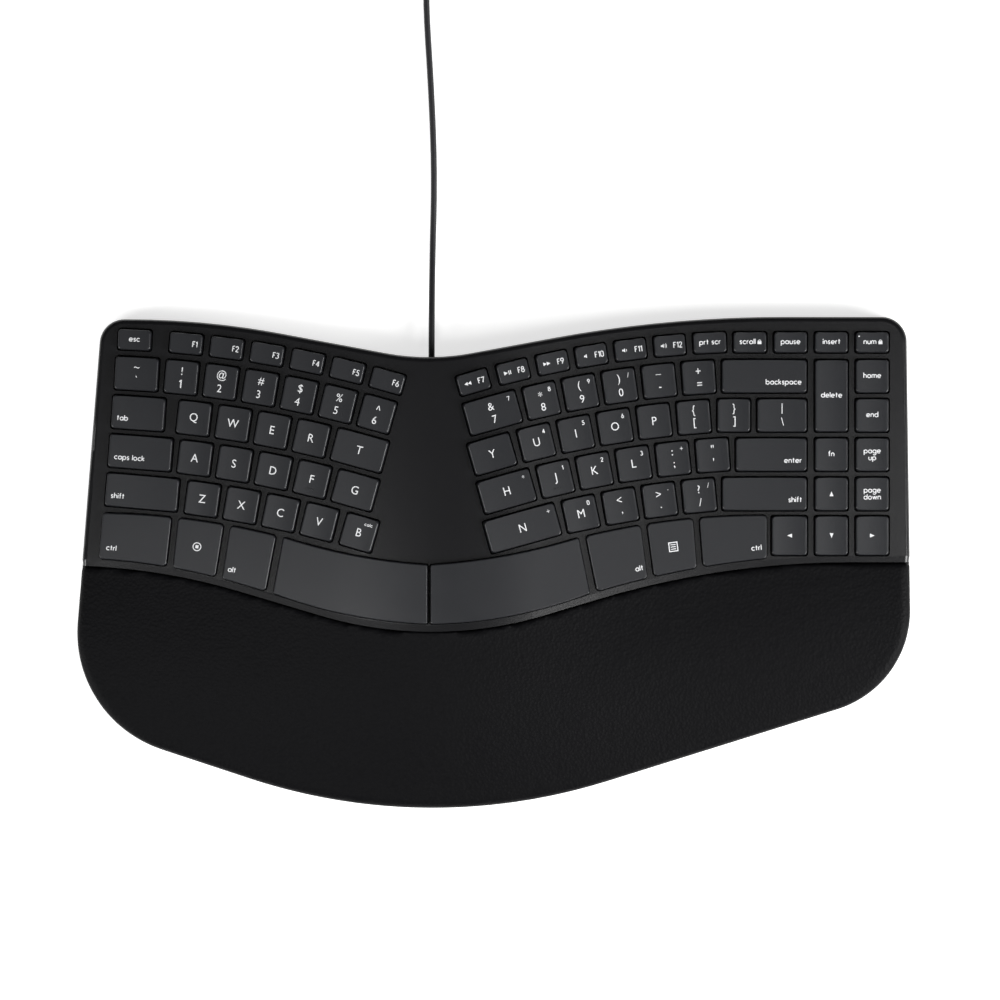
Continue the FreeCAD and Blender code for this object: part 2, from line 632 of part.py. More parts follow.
def boss_points():
    """Where the cover is screwed to the bottom case: in the side margins and near the crest line."""
    inset = COVER_WALL + BOSS_EDGE + BOSS_DIAMETER / 2
    room = outline_prism(inset, 0, 1)
    found = []
    for y in (5.0 * PITCH, 0.55 * PITCH):
        box = room.common(Part.makeLine(V(-FAR, y, 0.5), V(FAR, y, 0.5))).BoundBox
        found += [V(box.XMin, y, 0), V(box.XMax, y, 0)]
    return found + [V(CREST_X - 0.42 * PITCH, 3.2 * PITCH, 0), V(CREST_X, 0.9 * PITCH, 0)]


def boss_notches():
    """Room for the bosses in the sheets between them: slots in the sides, round holes at the crest."""
    reach = BOSS_DIAMETER / 2 + SEAM
    sides, crest = boss_points()[:4], boss_points()[4:]
    notches = pins(crest, reach, 0, 2 * CREST_Z)
    for point in sides:
        start = point.x - reach if point.x > 0 else point.x + reach - FAR
        notches.append(Part.makeBox(FAR, 2 * reach, 2 * CREST_Z, V(start, point.y - reach, 0)))
    return notches


def tray_points():
    """Where the palm rest's tray is screwed to the bottom case."""
    rear = JOIN_CREST_Y - 0.25 * PALM_DEPTH
    front = JOIN_CREST_Y - 0.75 * PALM_DEPTH
    return [V(-8.4 * PITCH, rear, 0), V(-5.2 * PITCH, front + 0.5 * PITCH, 0),
            V(CREST_X, rear, 0), V(CREST_X, front + 0.7 * PITCH, 0),
            V(3.4 * PITCH, front + 1.0 * PITCH, 0), V(8.4 * PITCH, rear + 1.2 * PITCH, 0)]


def pins(points, radius, low, high):
    """An upright cylinder at each plan point."""
    return [Part.makeCylinder(radius, high - low, V(p.x, p.y, low)) for p in points]


def layer(top, bottom, inset):
    """A sheet that follows the deck between two depths, inside the cover, clear of its bosses."""
    sheet = outline_prism(COVER_WALL + inset, 0, 2 * CREST_Z)
    sheet = sheet.common(behind(JOIN_LINE, COVER_WALL + inset, 0, 2 * CREST_Z))
    sheet = sheet.common(under_deck(top)).cut(under_deck(bottom))
    return sheet.cut(boss_notches())


def lies_along(edge, line):
    """Whether an edge lies on the deck and along a plan line."""
    middle = edge.valueAt((edge.FirstParameter + edge.LastParameter) / 2)
    for p in [v.Point for v in edge.Vertexes] + [middle]:
        level = deck_frame(p.x, 0, 0).Base.z
        if abs(p.z - level) > 0.05:
            return False
    return line.distToShape(Part.Vertex(V(middle.x, middle.y, 0)))[0] < 0.05


def make_cover(openings):
    """The upper case: an arched shell with a skirt all round and an opening for every key."""
    front, outline = plan_wire(JOIN_LINE), plan_wire(OUTLINE, closed=True)
    block = outline_prism(0, PARTING_Z + SEAM / 2, 2 * CREST_Z)
    block = block.common(behind(JOIN_LINE, 0, 0, 2 * CREST_Z)).common(under_deck(0))
    block = block.makeFillet(EDGE_ROUND, [e for e in block.Edges if lies_along(e, outline)])
    block = block.makeChamfer(LIP_BEVEL, LIP_DROP, [e for e in block.Edges if lies_along(e, front)])
    hollow = outline_prism(COVER_WALL, 0, 2 * CREST_Z)
    hollow = hollow.common(behind(JOIN_LINE, COVER_WALL, 0, 2 * CREST_Z)).common(under_deck(COVER_WALL))
    foot = CASE_FLOOR_Z + BOSS_SEAT + SEAM
    posts = pins(boss_points(), BOSS_DIAMETER / 2, foot, 2 * CREST_Z)
    posts = [post.common(under_deck(COVER_WALL / 2)) for post in posts]
    bores = pins(boss_points(), SCREW_DIAMETER / 2 + SCREW_CLEAR, 0, foot + SCREW_BITE + 0.5)
    start = CORD_EXIT - V(0, 2 * COVER_WALL, 0)
    exit_hole = Part.makeCylinder(BUSH_NECK / 2 + SEAM, 4 * COVER_WALL, start, V(0, 1, 0))
    shell = block.cut(hollow).cut(list(openings.values()) + [exit_hole])
    return shell.fuse(posts).cut(bores)


def make_guide_plate(frames):
    """The plate with a collar round every plunger."""
    bore = STEM_DIAMETER / 2 + STEM_CLEAR
    collars, bores = [], []
    for frame in frames.values():
        collar = Part.makeCylinder(bore + COLLAR_WALL, COLLAR_RISE + GUIDE_PLATE / 2,
                                   V(0, 0, -GUIDE_TOP - GUIDE_PLATE / 2))
        hole = Part.makeCylinder(bore, COLLAR_RISE + 4 * GUIDE_PLATE, V(0, 0, -GUIDE_BOTTOM - GUIDE_PLATE))
        collar.Placement = frame
        hole.Placement = frame
        collars.append(collar)
        bores.append(hole)
    return layer(GUIDE_TOP, GUIDE_BOTTOM, SEAM).fuse(collars).cut(bores)


def make_dome_sheet(frames):
    """The rubber sheet with a hollow dome, on a raised rim, under every plunger."""
    foot = DOME_BASE + DOME_SHEET * 0.6
    rim = DOME_WIDE + DOME_RIM
    domes, holes = [], []
    for frame in frames.values():
        dome = Part.makeCone(DOME_WIDE, DOME_NARROW, foot - DOME_BASE + DOME_HEIGHT, V(0, 0, -foot))
        flange = Part.makeCylinder(rim, foot - DOME_BASE + DOME_RIM / 3, V(0, 0, -foot))
        inside = Part.makeCone(DOME_WIDE - DOME_SKIN, DOME_NARROW - DOME_SKIN,
                               foot - DOME_BASE + DOME_HEIGHT - DOME_SKIN, V(0, 0, -foot))
        dome = dome.fuse(flange).cut(inside)
        hole = Part.makeCylinder(DOME_WIDE + DOME_RIM / 5, 4 * DOME_SHEET, V(0, 0, -foot - 2 * DOME_SHEET))
        dome.Placement = frame
        hole.Placement = frame
        domes.append(dome)
        holes.append(hole)
    return layer(DOME_BASE, DOME_BASE + DOME_SHEET, SEAM + 0.5).cut(holes).fuse(domes)


def make_membrane():
    """The contact film, with the tail that runs down to the controller."""
    film = layer(MEMBRANE_TOP, MEMBRANE_TOP + MEMBRANE, SEAM + 1.0)
    low = BOARD_Z + BOARD_SIZE[2] + LAYER_GAP
    tail = Part.makeBox(TAIL_WIDTH, MEMBRANE, 2 * CREST_Z, V(BOARD_X - TAIL_WIDTH / 2, TAIL_Y, low))
    return film.fuse(tail.common(under_deck(MEMBRANE_TOP + MEMBRANE / 2)))


def make_backing_plate():
    """The steel sheet that the film lies on, with a slot for the film's tail."""
    plate = layer(BACKING_TOP, BACKING_BOTTOM, SEAM + 0.5)
    slot = Part.makeBox(TAIL_WIDTH + 4, MEMBRANE + 4, 2 * CREST_Z,
                        V(BOARD_X - TAIL_WIDTH / 2 - 2, TAIL_Y - 2, 0))
    return plate.cut(slot)


def make_controller():
    """The circuit board with its chips, the cord's plug and the lead from it, as solids that touch."""
    width, depth, thick = BOARD_SIZE
    corner = V(BOARD_X - width / 2, BOARD_Y - depth / 2, BOARD_Z)
    top = BOARD_Z + thick
    board = Part.makeBox(width, depth, thick, corner)
    board = board.cut(pins(board_points(), SCREW_DIAMETER / 2 + SCREW_CLEAR, 0, CREST_Z))
    chip = Part.makeBox(9, 9, 1.2, V(BOARD_X - 13, BOARD_Y - 5, top))
    clock = Part.makeBox(8, 3, 2.0, V(BOARD_X - 1, BOARD_Y - 6, top))
    wide, long, tall = LEAD_PLUG
    rear = BOARD_Y + depth / 2 - 0.5
    lead_plug = Part.makeBox(wide, long, tall, V(CORD_EXIT.x - wide / 2, rear - long, top))
    reach = CORD_EXIT.y - COVER_WALL - SEAM - BUSH_FLANGE[1] - rear
    lead = Part.makeCylinder(LEAD_DIAMETER / 2, reach, V(CORD_EXIT.x, rear, CORD_EXIT.z), V(0, 1, 0))
    return Part.makeCompound([board, chip, clock, lead_plug, lead])


def board_points():
    """The two posts that carry the controller board."""
    reach = BOARD_SIZE[0] / 2 - 3.5
    return [V(BOARD_X - reach, BOARD_Y - 6, 0), V(BOARD_X + reach, BOARD_Y - 6, 0)]


def tilt_box(x, margin, low, high):
    """A box round one folded tilt foot, with a margin all round in plan and its sway at the rear."""
    width = TILT_WIDTH + 2 * margin
    length = TILT_LENGTH + TILT_THICKNESS / 2 + TILT_SWAY + 2 * margin
    return Part.makeBox(width, length, high - low,
                        V(x - width / 2, TILT_Y - TILT_LENGTH - margin, low))


def tilt_axis_z():
    return FOOT_HEIGHT + TILT_LIFT + TILT_THICKNESS / 2


def make_tilt_foot(x):
    """A flip-out foot, folded flat: a plate with a rounded heel, a finger notch and two pins."""
    z, radius = tilt_axis_z(), TILT_THICKNESS / 2
    half = TILT_WIDTH / 2
    plate = Part.makeBox(TILT_WIDTH, TILT_LENGTH, TILT_THICKNESS, V(x - half, TILT_Y - TILT_LENGTH, z - radius))
    tip = [e for e in plate.Edges if is_tip(e, TILT_Y - TILT_LENGTH)]
    plate = plate.makeFillet(TILT_THICKNESS * 0.3, tip)
    heel = Part.makeCylinder(radius, TILT_WIDTH, V(x - half, TILT_Y, z), V(1, 0, 0))
    reach = TILT_WALL * 0.75 + TILT_CLEAR
    pin = Part.makeCylinder(TILT_PIN / 2, TILT_WIDTH + 2 * reach, V(x - half - reach, TILT_Y, z), V(1, 0, 0))
    notch = Part.makeCylinder(4.0, 1.2, V(x, TILT_Y - TILT_LENGTH + 3, z - radius))
    return plate.fuse([heel, pin]).cut(notch).removeSplitter()


def is_tip(edge, y):
    """Whether an edge runs across the free end of a tilt foot."""
    return all(abs(v.Y - y) < 1e-6 for v in edge.Vertexes) and abs(edge.BoundBox.XLength) > 1


def foot_points():
    """Centres and turns of the rubber feet."""
    return [(V(-8.6 * PITCH, 3.2 * PITCH, 0), 90), (V(8.9 * PITCH, 3.2 * PITCH, 0), 90),
            (V(-7.0 * PITCH, FRONT_VERTEX_Y + 2.6 * PITCH, 0), -18),
            (V(CREST_X, FRONT_VERTEX_Y + 1.6 * PITCH, 0), 0),
            (V(6.4 * PITCH, FRONT_VERTEX_Y + 3.2 * PITCH, 0), 17)]


def foot_blocks(margin, low, high):
    """A rounded block at each rubber foot, with a margin all round in plan."""
    found = []
    for point, turn in foot_points():
        width, depth = FOOT_SIZE[0] + 2 * margin, FOOT_SIZE[1] + 2 * margin
        block = rounded_box(width, depth, depth / 2.2, low, high)
        block.rotate(V(0, 0, 0), UP, turn)
        block.translate(point)
        found.append(block)
    return found


def make_bottom_case():
    """The lower case: floor, rim, ribs under the steel sheet, screw bosses and tilt foot pockets."""
    shell = outline_prism(0, FOOT_HEIGHT, PARTING_Z - SEAM / 2)
    low = [e for e in shell.Edges if e.BoundBox.ZMax < FOOT_HEIGHT + 1e-6]
    shell = shell.makeFillet(FLOOR * 0.6, low)
    shell = shell.cut(outline_prism(CASE_WALL, CASE_FLOOR_Z, 2 * PARTING_Z))
    root = CASE_FLOOR_Z - FLOOR / 2
    room = outline_prism(COVER_WALL + SEAM + 1.0, root, 2 * CREST_Z)
    room = room.common(behind(JOIN_LINE, COVER_WALL + 1.5, 0, 2 * CREST_Z))
    room = room.common(under_deck(BACKING_BOTTOM + SEAM))
    ribs = []
    for x in RIB_X:
        wall = Part.makeBox(RIB, 2 * FAR, 2 * CREST_Z, V(x * PITCH - RIB / 2, -FAR, root))
        ribs.append(wall.common(room))
    bosses = pins(boss_points(), BOSS_DIAMETER / 2, root, CASE_FLOOR_Z + BOSS_SEAT)
    bosses += pins(tray_points(), BOSS_DIAMETER / 2 + 0.6, root, CASE_FLOOR_Z + BOSS_SEAT)
    posts = pins(board_points(), BOARD_POST / 2, root, BOARD_Z)
    pockets = [tilt_box(x, TILT_CLEAR + TILT_WALL, root, POCKET_TOP + FLOOR * 0.6) for x in TILT_X]
    body = shell.fuse(ribs + bosses + posts + pockets)
    cuts = [tilt_box(x, TILT_CLEAR, 0, POCKET_TOP) for x in TILT_X]
    for x in TILT_X:
        length = TILT_WIDTH + 2 * TILT_CLEAR + 2 * TILT_WALL * 0.9
        cuts.append(Part.makeCylinder(TILT_PIN / 2 + TILT_PIN_CLEAR, length,
                                      V(x - length / 2, TILT_Y, tilt_axis_z()), V(1, 0, 0)))
        # finger notch ahead of the folded foot
        cuts.append(Part.makeCylinder(7.0, POCKET_TOP - FOOT_HEIGHT - 1.2,
                                      V(x, TILT_Y - TILT_LENGTH, FOOT_HEIGHT)))
    screws = boss_points() + tray_points()
    cuts += pins(screws, SCREW_DIAMETER / 2 + SEAM / 2, 0, 2 * PARTING_Z)
    cuts += pins(screws, SCREW_HEAD / 2 + SEAM, 0, FOOT_HEIGHT + HEAD_SINK)
    cuts += foot_blocks(0.15, 0, FOOT_HEIGHT + FOOT_SINK)
    bore_low = BOARD_Z - BOARD_BITE - 0.5
    cuts += pins(board_points(), SCREW_DIAMETER / 2 + SCREW_CLEAR, bore_low, 2 * BOARD_Z)
    return body.cut(cuts)


def front_line():
    """The front edge's straight runs and the bend between them, on past the corners."""
    vertex, left, right = OUTLINE[6], OUTLINE[7], OUTLINE[5]
    ends = []
    for corner, x in ((left, -FAR), (right, FAR)):
        slope = (corner[1] - vertex[1]) / (corner[0] - vertex[0])
        ends.append((x, vertex[1] + slope * (x - vertex[0]), 0))
    return (ends[0], vertex, ends[1])


def crossing_y(wire, x):
    """y where a plan line passes x."""
    upright = Part.makeLine(V(x, -4 * FAR, 0), V(x, 4 * FAR, 0))
    return wire.distToShape(upright)[1][0][0].y


def palm_section(x, rear_wire, front_wire):
    """The crowned section of the palm rest at x, drawn on past both of its ends."""
    rear, front = crossing_y(rear_wire, x), crossing_y(front_wire, x)
    rear_z = deck_frame(x, 0, 0).Base.z - LIP_DROP - SEAM / 2
    points = []
    for share in (-0.1, 0.5, 1.1):
        swell = 4 * PAD_CROWN * share * (1 - share)
        z = rear_z + (PAD_FRONT_Z - rear_z) * share + swell
        points.append(V(x, rear + (front - rear) * share, z))
    return Part.Wire(Part.Arc(*points).toShape())


def under_palm(drop):
    """Everything below the palm rest's crowned surface, lowered by drop."""
    rear_wire, front_wire = plan_wire(JOIN_LINE), plan_wire(front_line())
    sections = [palm_section(x * PITCH, rear_wire, front_wire) for x in PALM_STATIONS]
    skin = Part.makeLoft(sections, False, False)
    skin.translate(V(0, 0, -drop))
    return skin.Faces[0].extrude(V(0, 0, -2 * CREST_Z))


def palm_block(inset, gap, drop, low):
    """The palm rest's room: drawn in from the outline, behind it and from its top."""
    block = outline_prism(inset, low, 2 * CREST_Z).cut(behind(JOIN_LINE, -gap, 0, 2 * CREST_Z))
    return block.common(under_palm(drop))


def make_pad():
    """The palm rest's padded cover: a crowned cushion that wraps the tray's edge."""
    block = palm_block(0, SEAM, 0, PARTING_Z + SEAM / 2)
    rim = [e for e in block.Edges if is_pad_rim(e)]
    block = block.makeFillet(PAD_ROUND, rim)
    return block.cut(palm_block(PAD_INSET, SEAM, PAD_THICKNESS, 0))


def is_pad_rim(edge):
    """Whether an edge runs round the outer top of the palm rest."""
    outline = plan_wire(OUTLINE, closed=True)
    if edge.BoundBox.ZMin < PARTING_Z + 2:
        return False
    middle = edge.valueAt((edge.FirstParameter + edge.LastParameter) / 2)
    level = abs(edge.tangentAt((edge.FirstParameter + edge.LastParameter) / 2).z) < 0.9
    return level and outline.distToShape(Part.Vertex(V(middle.x, middle.y, 0)))[0] < 0.05


def make_tray():
    """The stiff tray under the pad, with screw bosses down to the bottom case."""
    edge = PAD_INSET + SEAM
    skin = PAD_THICKNESS + SEAM
    block = palm_block(edge, 2 * SEAM, skin, PARTING_Z + SEAM / 2)
    hollow = palm_block(edge + TRAY_WALL, 2 * SEAM + TRAY_WALL, skin + TRAY_WALL, 0)
    foot = CASE_FLOOR_Z + BOSS_SEAT + SEAM
    bosses = pins(tray_points(), BOSS_DIAMETER / 2 + 0.6, foot, 2 * CREST_Z)
    roof = palm_block(edge + 0.5, 2 * SEAM + 0.5, skin + TRAY_WALL / 2, 0)
    bosses = [boss.common(roof) for boss in bosses]
    bores = pins(tray_points(), SCREW_DIAMETER / 2 + SCREW_CLEAR, 0, foot + TRAY_BITE + 0.5)
    return block.cut(hollow).fuse(bosses).cut(bores)


def make_screw(point, base, length):
    """A pan head screw that points up from base, with a cross slot in its head."""
    head = Part.makeCylinder(SCREW_HEAD / 2, SCREW_HEAD_DEPTH, V(point.x, point.y, base))
    shank = Part.makeCylinder(SCREW_DIAMETER / 2, length, V(point.x, point.y, base))
    slots = []
    for wide, long in (CROSS_SLOT, CROSS_SLOT[::-1]):
        slots.append(Part.makeBox(wide, long, SCREW_HEAD_DEPTH / 2,
                                  V(point.x - wide / 2, point.y - long / 2, base)))
    return head.fuse(shank).cut(slots).removeSplitter()


def make_screws():
    """The case and tray screws, driven up from below, and the board's, driven down."""
    base = FOOT_HEIGHT + HEAD_SINK - SCREW_HEAD_DEPTH
    seat = CASE_FLOOR_Z + BOSS_SEAT + SEAM - base
    screws = [make_screw(point, base, seat + SCREW_BITE) for point in boss_points()]
    screws += [make_screw(point, base, seat + TRAY_BITE) for point in tray_points()]
    top = BOARD_Z + BOARD_SIZE[2] + SCREW_HEAD_DEPTH
    for point in board_points():
        screw = make_screw(V(0, 0, 0), 0, SCREW_HEAD_DEPTH + BOARD_SIZE[2] + BOARD_BITE)
        screw.rotate(V(0, 0, 0), V(1, 0, 0), 180)
        screw.translate(V(point.x, point.y, top))
        screws.append(screw)
    return Part.makeCompound(screws)


def make_bush():
    """The cord's strain relief: a flange inside the cover and a neck that ends within its wall."""
    x, y, z = CORD_EXIT
    way = V(0, 1, 0)
    inside = V(x, y - COVER_WALL - SEAM - BUSH_FLANGE[1], z)
    flange = Part.makeCylinder(BUSH_FLANGE[0] / 2, BUSH_FLANGE[1], inside, way)
    start = inside + way * BUSH_FLANGE[1] / 2
    neck = Part.makeCylinder(BUSH_NECK / 2, CORD_ROUTE[0].y - start.y, start, way)
    return flange.fuse(neck).removeSplitter()


def cord_run(points, name):
    """A round cord through points: straight runs joined by the largest arcs that fit."""
    radii = [0]
    for before, point, after in zip(points, points[1:], points[2:]):
        back, on = before - point, after - point
        half_turn = (math.pi - back.getAngle(on)) / 2
        radii.append(0.45 * min(back.Length, on.Length) / math.tan(half_turn))
    edges = bent_edges(points, radii + [0])
    path = Part.Wire(edges)
    profile = Part.Wire(Part.makeCircle(CORD_DIAMETER / 2, points[0], points[1] - points[0]))
    tube = path.makePipeShell([profile], True, False)
    expected = math.pi * CORD_DIAMETER**2 / 4 * path.Length
    print(name, "length", round(path.Length, 1), "radii", [round(r, 1) for r in radii],
          "volume share", round(tube.Volume / expected, 5))
    return tube, path.Length


def coil_stop(turn):
    """Where the coil's middle line is after so many turns, and which way it runs."""
    leg = COIL_TURNS + 0.5
    done = min(int(turn / leg), 3)
    within = turn - done * leg
    inward = done % 2 == 0
    outer = COIL_RADIUS + COIL_PITCH * COIL_TURNS / 2
    drift = min(within, COIL_TURNS) * COIL_PITCH
    radius = outer - drift if inward else outer - COIL_TURNS * COIL_PITCH + drift
    climbed = max(within - COIL_TURNS, 0)
    z = COIL_Z + (done + 2 * climbed) * COIL_RISE
    spiralling = 0 < within < COIL_TURNS
    spread = COIL_PITCH / (2 * math.pi) * (-1 if inward else 1) * spiralling
    rise = COIL_RISE / math.pi * (climbed > 0)
    angle = 2 * math.pi * turn
    out = V(math.cos(angle), math.sin(angle), 0)
    along = V(-out.y, out.x, 0)
    place = V(COIL_X, COIL_Y, z) + out * radius
    return place, (along * radius + out * spread + UP * rise).normalize()


def biarc(start, start_way, end, end_way):
    """Two arcs that join two points and keep both directions."""
    gap = end - start
    ways = start_way + end_way
    a = 2 * (1 - start_way.dot(end_way))
    b = 2 * gap.dot(ways)
    c = -gap.dot(gap)
    reach = -c / b if abs(a) < 1e-9 else (-b + math.sqrt(b * b - 4 * a * c)) / (2 * a)
    first, second = start + start_way * reach, end - end_way * reach
    middle = (first + second) * 0.5
    return [tangent_arc(start, first, middle), tangent_arc(middle, second, end)]


def make_coil():
    """The cord that the picture doesn't show, coiled in four layers, as one unbroken tube."""
    legs = 4 * (COIL_TURNS + 0.5) - 0.5
    outer = COIL_RADIUS + COIL_PITCH * COIL_TURNS / 2
    stops = [coil_stop(i / 4) for i in range(int(round(4 * legs)) + 1)]
    edges = [Part.LineSegment(stops[0][0] - stops[0][1] * CORD_DIAMETER, stops[0][0]).toShape()]
    for (a, a_way), (b, b_way) in zip(stops, stops[1:]):
        edges += biarc(a, a_way, b, b_way)
    last, way = stops[-1]
    swing = V(COIL_X + outer + COIL_SWING, COIL_Y, PLUG_Z)
    beside = V(COIL_X, COIL_Y - outer - COIL_SWING / 2, (last.z + PLUG_Z) / 2)
    lean = V(1, 0, -0.12).normalize()
    edges += biarc(last, way, beside, lean) + biarc(beside, lean, swing, V(0, 1, 0))
    end = swing + V(0, COIL_TAIL, 0)
    edges.append(Part.LineSegment(swing, end).toShape())
    path = Part.Wire(edges)
    begin = edges[0].Vertexes[0].Point
    profile = Part.Wire(Part.makeCircle(CORD_DIAMETER / 2, begin, stops[0][1]))
    tube = path.makePipeShell([profile], True, False)
    expected = math.pi * CORD_DIAMETER**2 / 4 * path.Length
    print("coil length", round(path.Length, 1), "turns", legs, "least gap", round(least_gap(edges), 2),
          "volume share", round(tube.Volume / expected, 5))
    return tube, path.Length


def least_gap(edges):
    """The least space between stretches of the coil that lie more than a quarter turn apart."""
    points, run = [], []
    travelled = 0.0
    for edge in edges:
        count = max(2, int(edge.Length / 1.5))
        for i in range(count):
            share = i / count
            at = edge.FirstParameter + (edge.LastParameter - edge.FirstParameter) * share
            points.append(edge.valueAt(at))
            run.append(travelled + edge.Length * share)
        travelled += edge.Length
    least = FAR
    for i, point in enumerate(points):
        for j in range(i + 1, len(points)):
            if run[j] - run[i] > COIL_RADIUS:
                least = min(least, point.distanceToPoint(points[j]))
    return least - CORD_DIAMETER


def make_tie():
    """The band round one side of the coil."""
    reach = COIL_PITCH * COIL_TURNS / 2 + CORD_DIAMETER / 2 + TIE_CLEAR
    low = COIL_Z - CORD_DIAMETER / 2 - TIE_UNDER
    high = COIL_Z + 3 * COIL_RISE + CORD_DIAMETER / 2 + TIE_CLEAR
    corner = V(COIL_X - COIL_RADIUS - reach, COIL_Y - TIE_WIDTH / 2, low)
    outer = Part.makeBox(2 * (reach + TIE_SKIN), TIE_WIDTH, high - low + 2 * TIE_SKIN,
                         corner - V(TIE_SKIN, 0, TIE_SKIN))
    long = [e for e in outer.Edges if abs(e.BoundBox.YLength - TIE_WIDTH) < 1e-6]
    inner = Part.makeBox(2 * reach, 2 * TIE_WIDTH, high - low, corner - V(0, TIE_WIDTH / 2, 0))
    return outer.makeFillet(TIE_SKIN * 1.5, long).cut(inner)


def make_plug():
    """The plug's moulded grip and its metal shell with the contact tongue."""
    width, length, height = PLUG_BODY
    y = COIL_Y + COIL_TAIL
    x = COIL_X + COIL_RADIUS + COIL_PITCH * COIL_TURNS / 2 + COIL_SWING
    grip = Part.makeBox(width, length, height, V(x - width / 2, y, PLUG_Z - height / 2))
    grip = grip.makeFillet(1.5, grip.Edges)
    neck = Part.makeCone(CORD_DIAMETER / 2 + 0.7, 3.6, 6.0, V(x, y - 4.0, PLUG_Z), V(0, 1, 0))
    grip = grip.fuse(neck)
    grip = grip.cut(Part.makeCylinder(CORD_DIAMETER / 2 + 0.1, 4.0, V(x, y - 4.0, PLUG_Z), V(0, 1, 0)))
    wide, long, tall = PLUG_SHELL
    start = V(x - wide / 2, y + length, PLUG_Z - tall / 2)
    shell = Part.makeBox(wide, long, tall, start)
    bore = Part.makeBox(wide - 2 * PLUG_WALL, long, tall - 2 * PLUG_WALL,
                        start + V(PLUG_WALL, 1.0, PLUG_WALL))
    holes = []
    for side in (-1, 1):
        for z in (PLUG_Z - tall / 2, PLUG_Z + tall / 2 - PLUG_WALL):
            holes.append(Part.makeBox(2.0, 2.4, PLUG_WALL, V(x + side * 2.9 - 1.0, y + length + 6.0, z)))
    tongue = Part.makeBox(wide - 2 * PLUG_WALL - 0.2, long - 2.0, 1.8,
                          V(x - wide / 2 + PLUG_WALL + 0.1, y + length + 1.0, PLUG_Z - tall / 2 + PLUG_WALL))
    return grip, shell.cut(bore).cut(holes), tongue


def build():
    """Every node's solid, by name."""
    depths = {
        "key_top": under_deck(-KEY_RISE),
        "skirt": under_deck(KEY_SKIRT),
        "key_roof": under_deck(KEY_ROOF - KEY_RISE),
    }
    keys, openings, frames = make_keys(depths)
    nodes = {
        "top_cover": make_cover(openings),
        "bottom_case": make_bottom_case(),
        "palm_rest_pad": make_pad(),
        "palm_rest_tray": make_tray(),
        "key_guide_plate": make_guide_plate(frames),
        "dome_sheet": make_dome_sheet(frames),
        "membrane": make_membrane(),
        "backing_plate": make_backing_plate(),
        "controller_board": make_controller(),
        "case_screws": make_screws(),
        "rubber_feet": Part.makeCompound(foot_blocks(0, 0, FOOT_HEIGHT + FOOT_SINK)),
        "tilt_foot_left": make_tilt_foot(TILT_X[0]),
        "tilt_foot_right": make_tilt_foot(TILT_X[1]),
        "cable_strain_relief": make_bush(),
    }
    cord, cord_length = cord_run(CORD_ROUTE, "cord")
    coil, coil_length = make_coil()
    print("cord in all", round(cord_length + coil_length, 1))
    grip, shell, tongue = make_plug()
    nodes["usb_cable"] = cord
    nodes["cable_coil"] = coil
    nodes["cable_tie"] = make_tie()
    nodes["usb_plug_grip"] = grip
    nodes["usb_plug_contacts"] = Part.makeCompound([shell, tongue])
    grouped = {key for members in GROUPS.values() for key in members}
    for name, members in GROUPS.items():
        nodes[name] = Part.makeCompound([keys[member] for member in members])
    for name, key in keys.items():
        if name not in grouped:
            nodes["key_" + name] = key
    return nodes, frames


if __name__ == "__main__":
    os.makedirs("parts", exist_ok=True)
    for node, shape in build()[0].items():
        if not shape.isValid():
            print(node, "is not valid")
        shape.exportStep("parts/" + node + ".step")
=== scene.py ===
import json
import math

import bmesh
import bpy
from mathutils import Matrix, Vector


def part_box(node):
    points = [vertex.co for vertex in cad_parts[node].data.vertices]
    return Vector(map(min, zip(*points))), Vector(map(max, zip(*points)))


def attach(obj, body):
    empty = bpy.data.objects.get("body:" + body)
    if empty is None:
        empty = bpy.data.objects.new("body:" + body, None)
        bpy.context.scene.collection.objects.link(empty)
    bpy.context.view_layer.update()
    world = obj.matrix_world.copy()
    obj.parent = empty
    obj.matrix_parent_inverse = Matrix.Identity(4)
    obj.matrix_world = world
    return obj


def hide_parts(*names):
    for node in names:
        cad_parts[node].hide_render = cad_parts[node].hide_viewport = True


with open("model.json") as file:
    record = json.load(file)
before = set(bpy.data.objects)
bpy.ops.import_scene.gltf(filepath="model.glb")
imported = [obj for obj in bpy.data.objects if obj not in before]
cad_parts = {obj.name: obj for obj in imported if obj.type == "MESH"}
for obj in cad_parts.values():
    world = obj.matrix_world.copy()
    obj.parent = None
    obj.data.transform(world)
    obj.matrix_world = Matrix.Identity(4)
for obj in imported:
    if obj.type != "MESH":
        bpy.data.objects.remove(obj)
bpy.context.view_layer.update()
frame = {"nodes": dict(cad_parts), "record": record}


# Camera and studio: the keyboard lies on a pale desk and is looked at from straight above, with a
# long lens far up. Wide soft lamps stand low at its front corners. Small weak ones hang over its
# halves and in front at the right, and give the caps and the palm rest a soft shine.
UNDER = (0.00346, 0.02986)      # the point that the camera stands over
HEIGHT = 5.0            # of the camera above the desk
SEEN = 0.480            # width of the picture at the height of the deck
DECK = 0.018            # mean height of the deck
SENSOR = 36.0           # width of the camera's sensor in millimetres
bpy.ops.object.select_all(action="DESELECT")
bpy.ops.object.camera_add(location=(*UNDER, HEIGHT), rotation=(0, 0, 0))
camera = bpy.context.object
camera.name = "camera"
camera.data.sensor_width = SENSOR
camera.data.lens = SENSOR * (HEIGHT - DECK) / SEEN
camera.data.clip_end = 30.0
bpy.context.scene.camera = camera
bpy.context.scene.view_settings.view_transform = "Standard"


def linear(colour):
    """An sRGB hex colour as linear red, green, blue and alpha."""
    channels = [int(colour[i:i + 2], 16) / 255 for i in (1, 3, 5)]
    return [c / 12.92 if c <= 0.04045 else ((c + 0.055) / 1.055) ** 2.4 for c in channels] + [1.0]


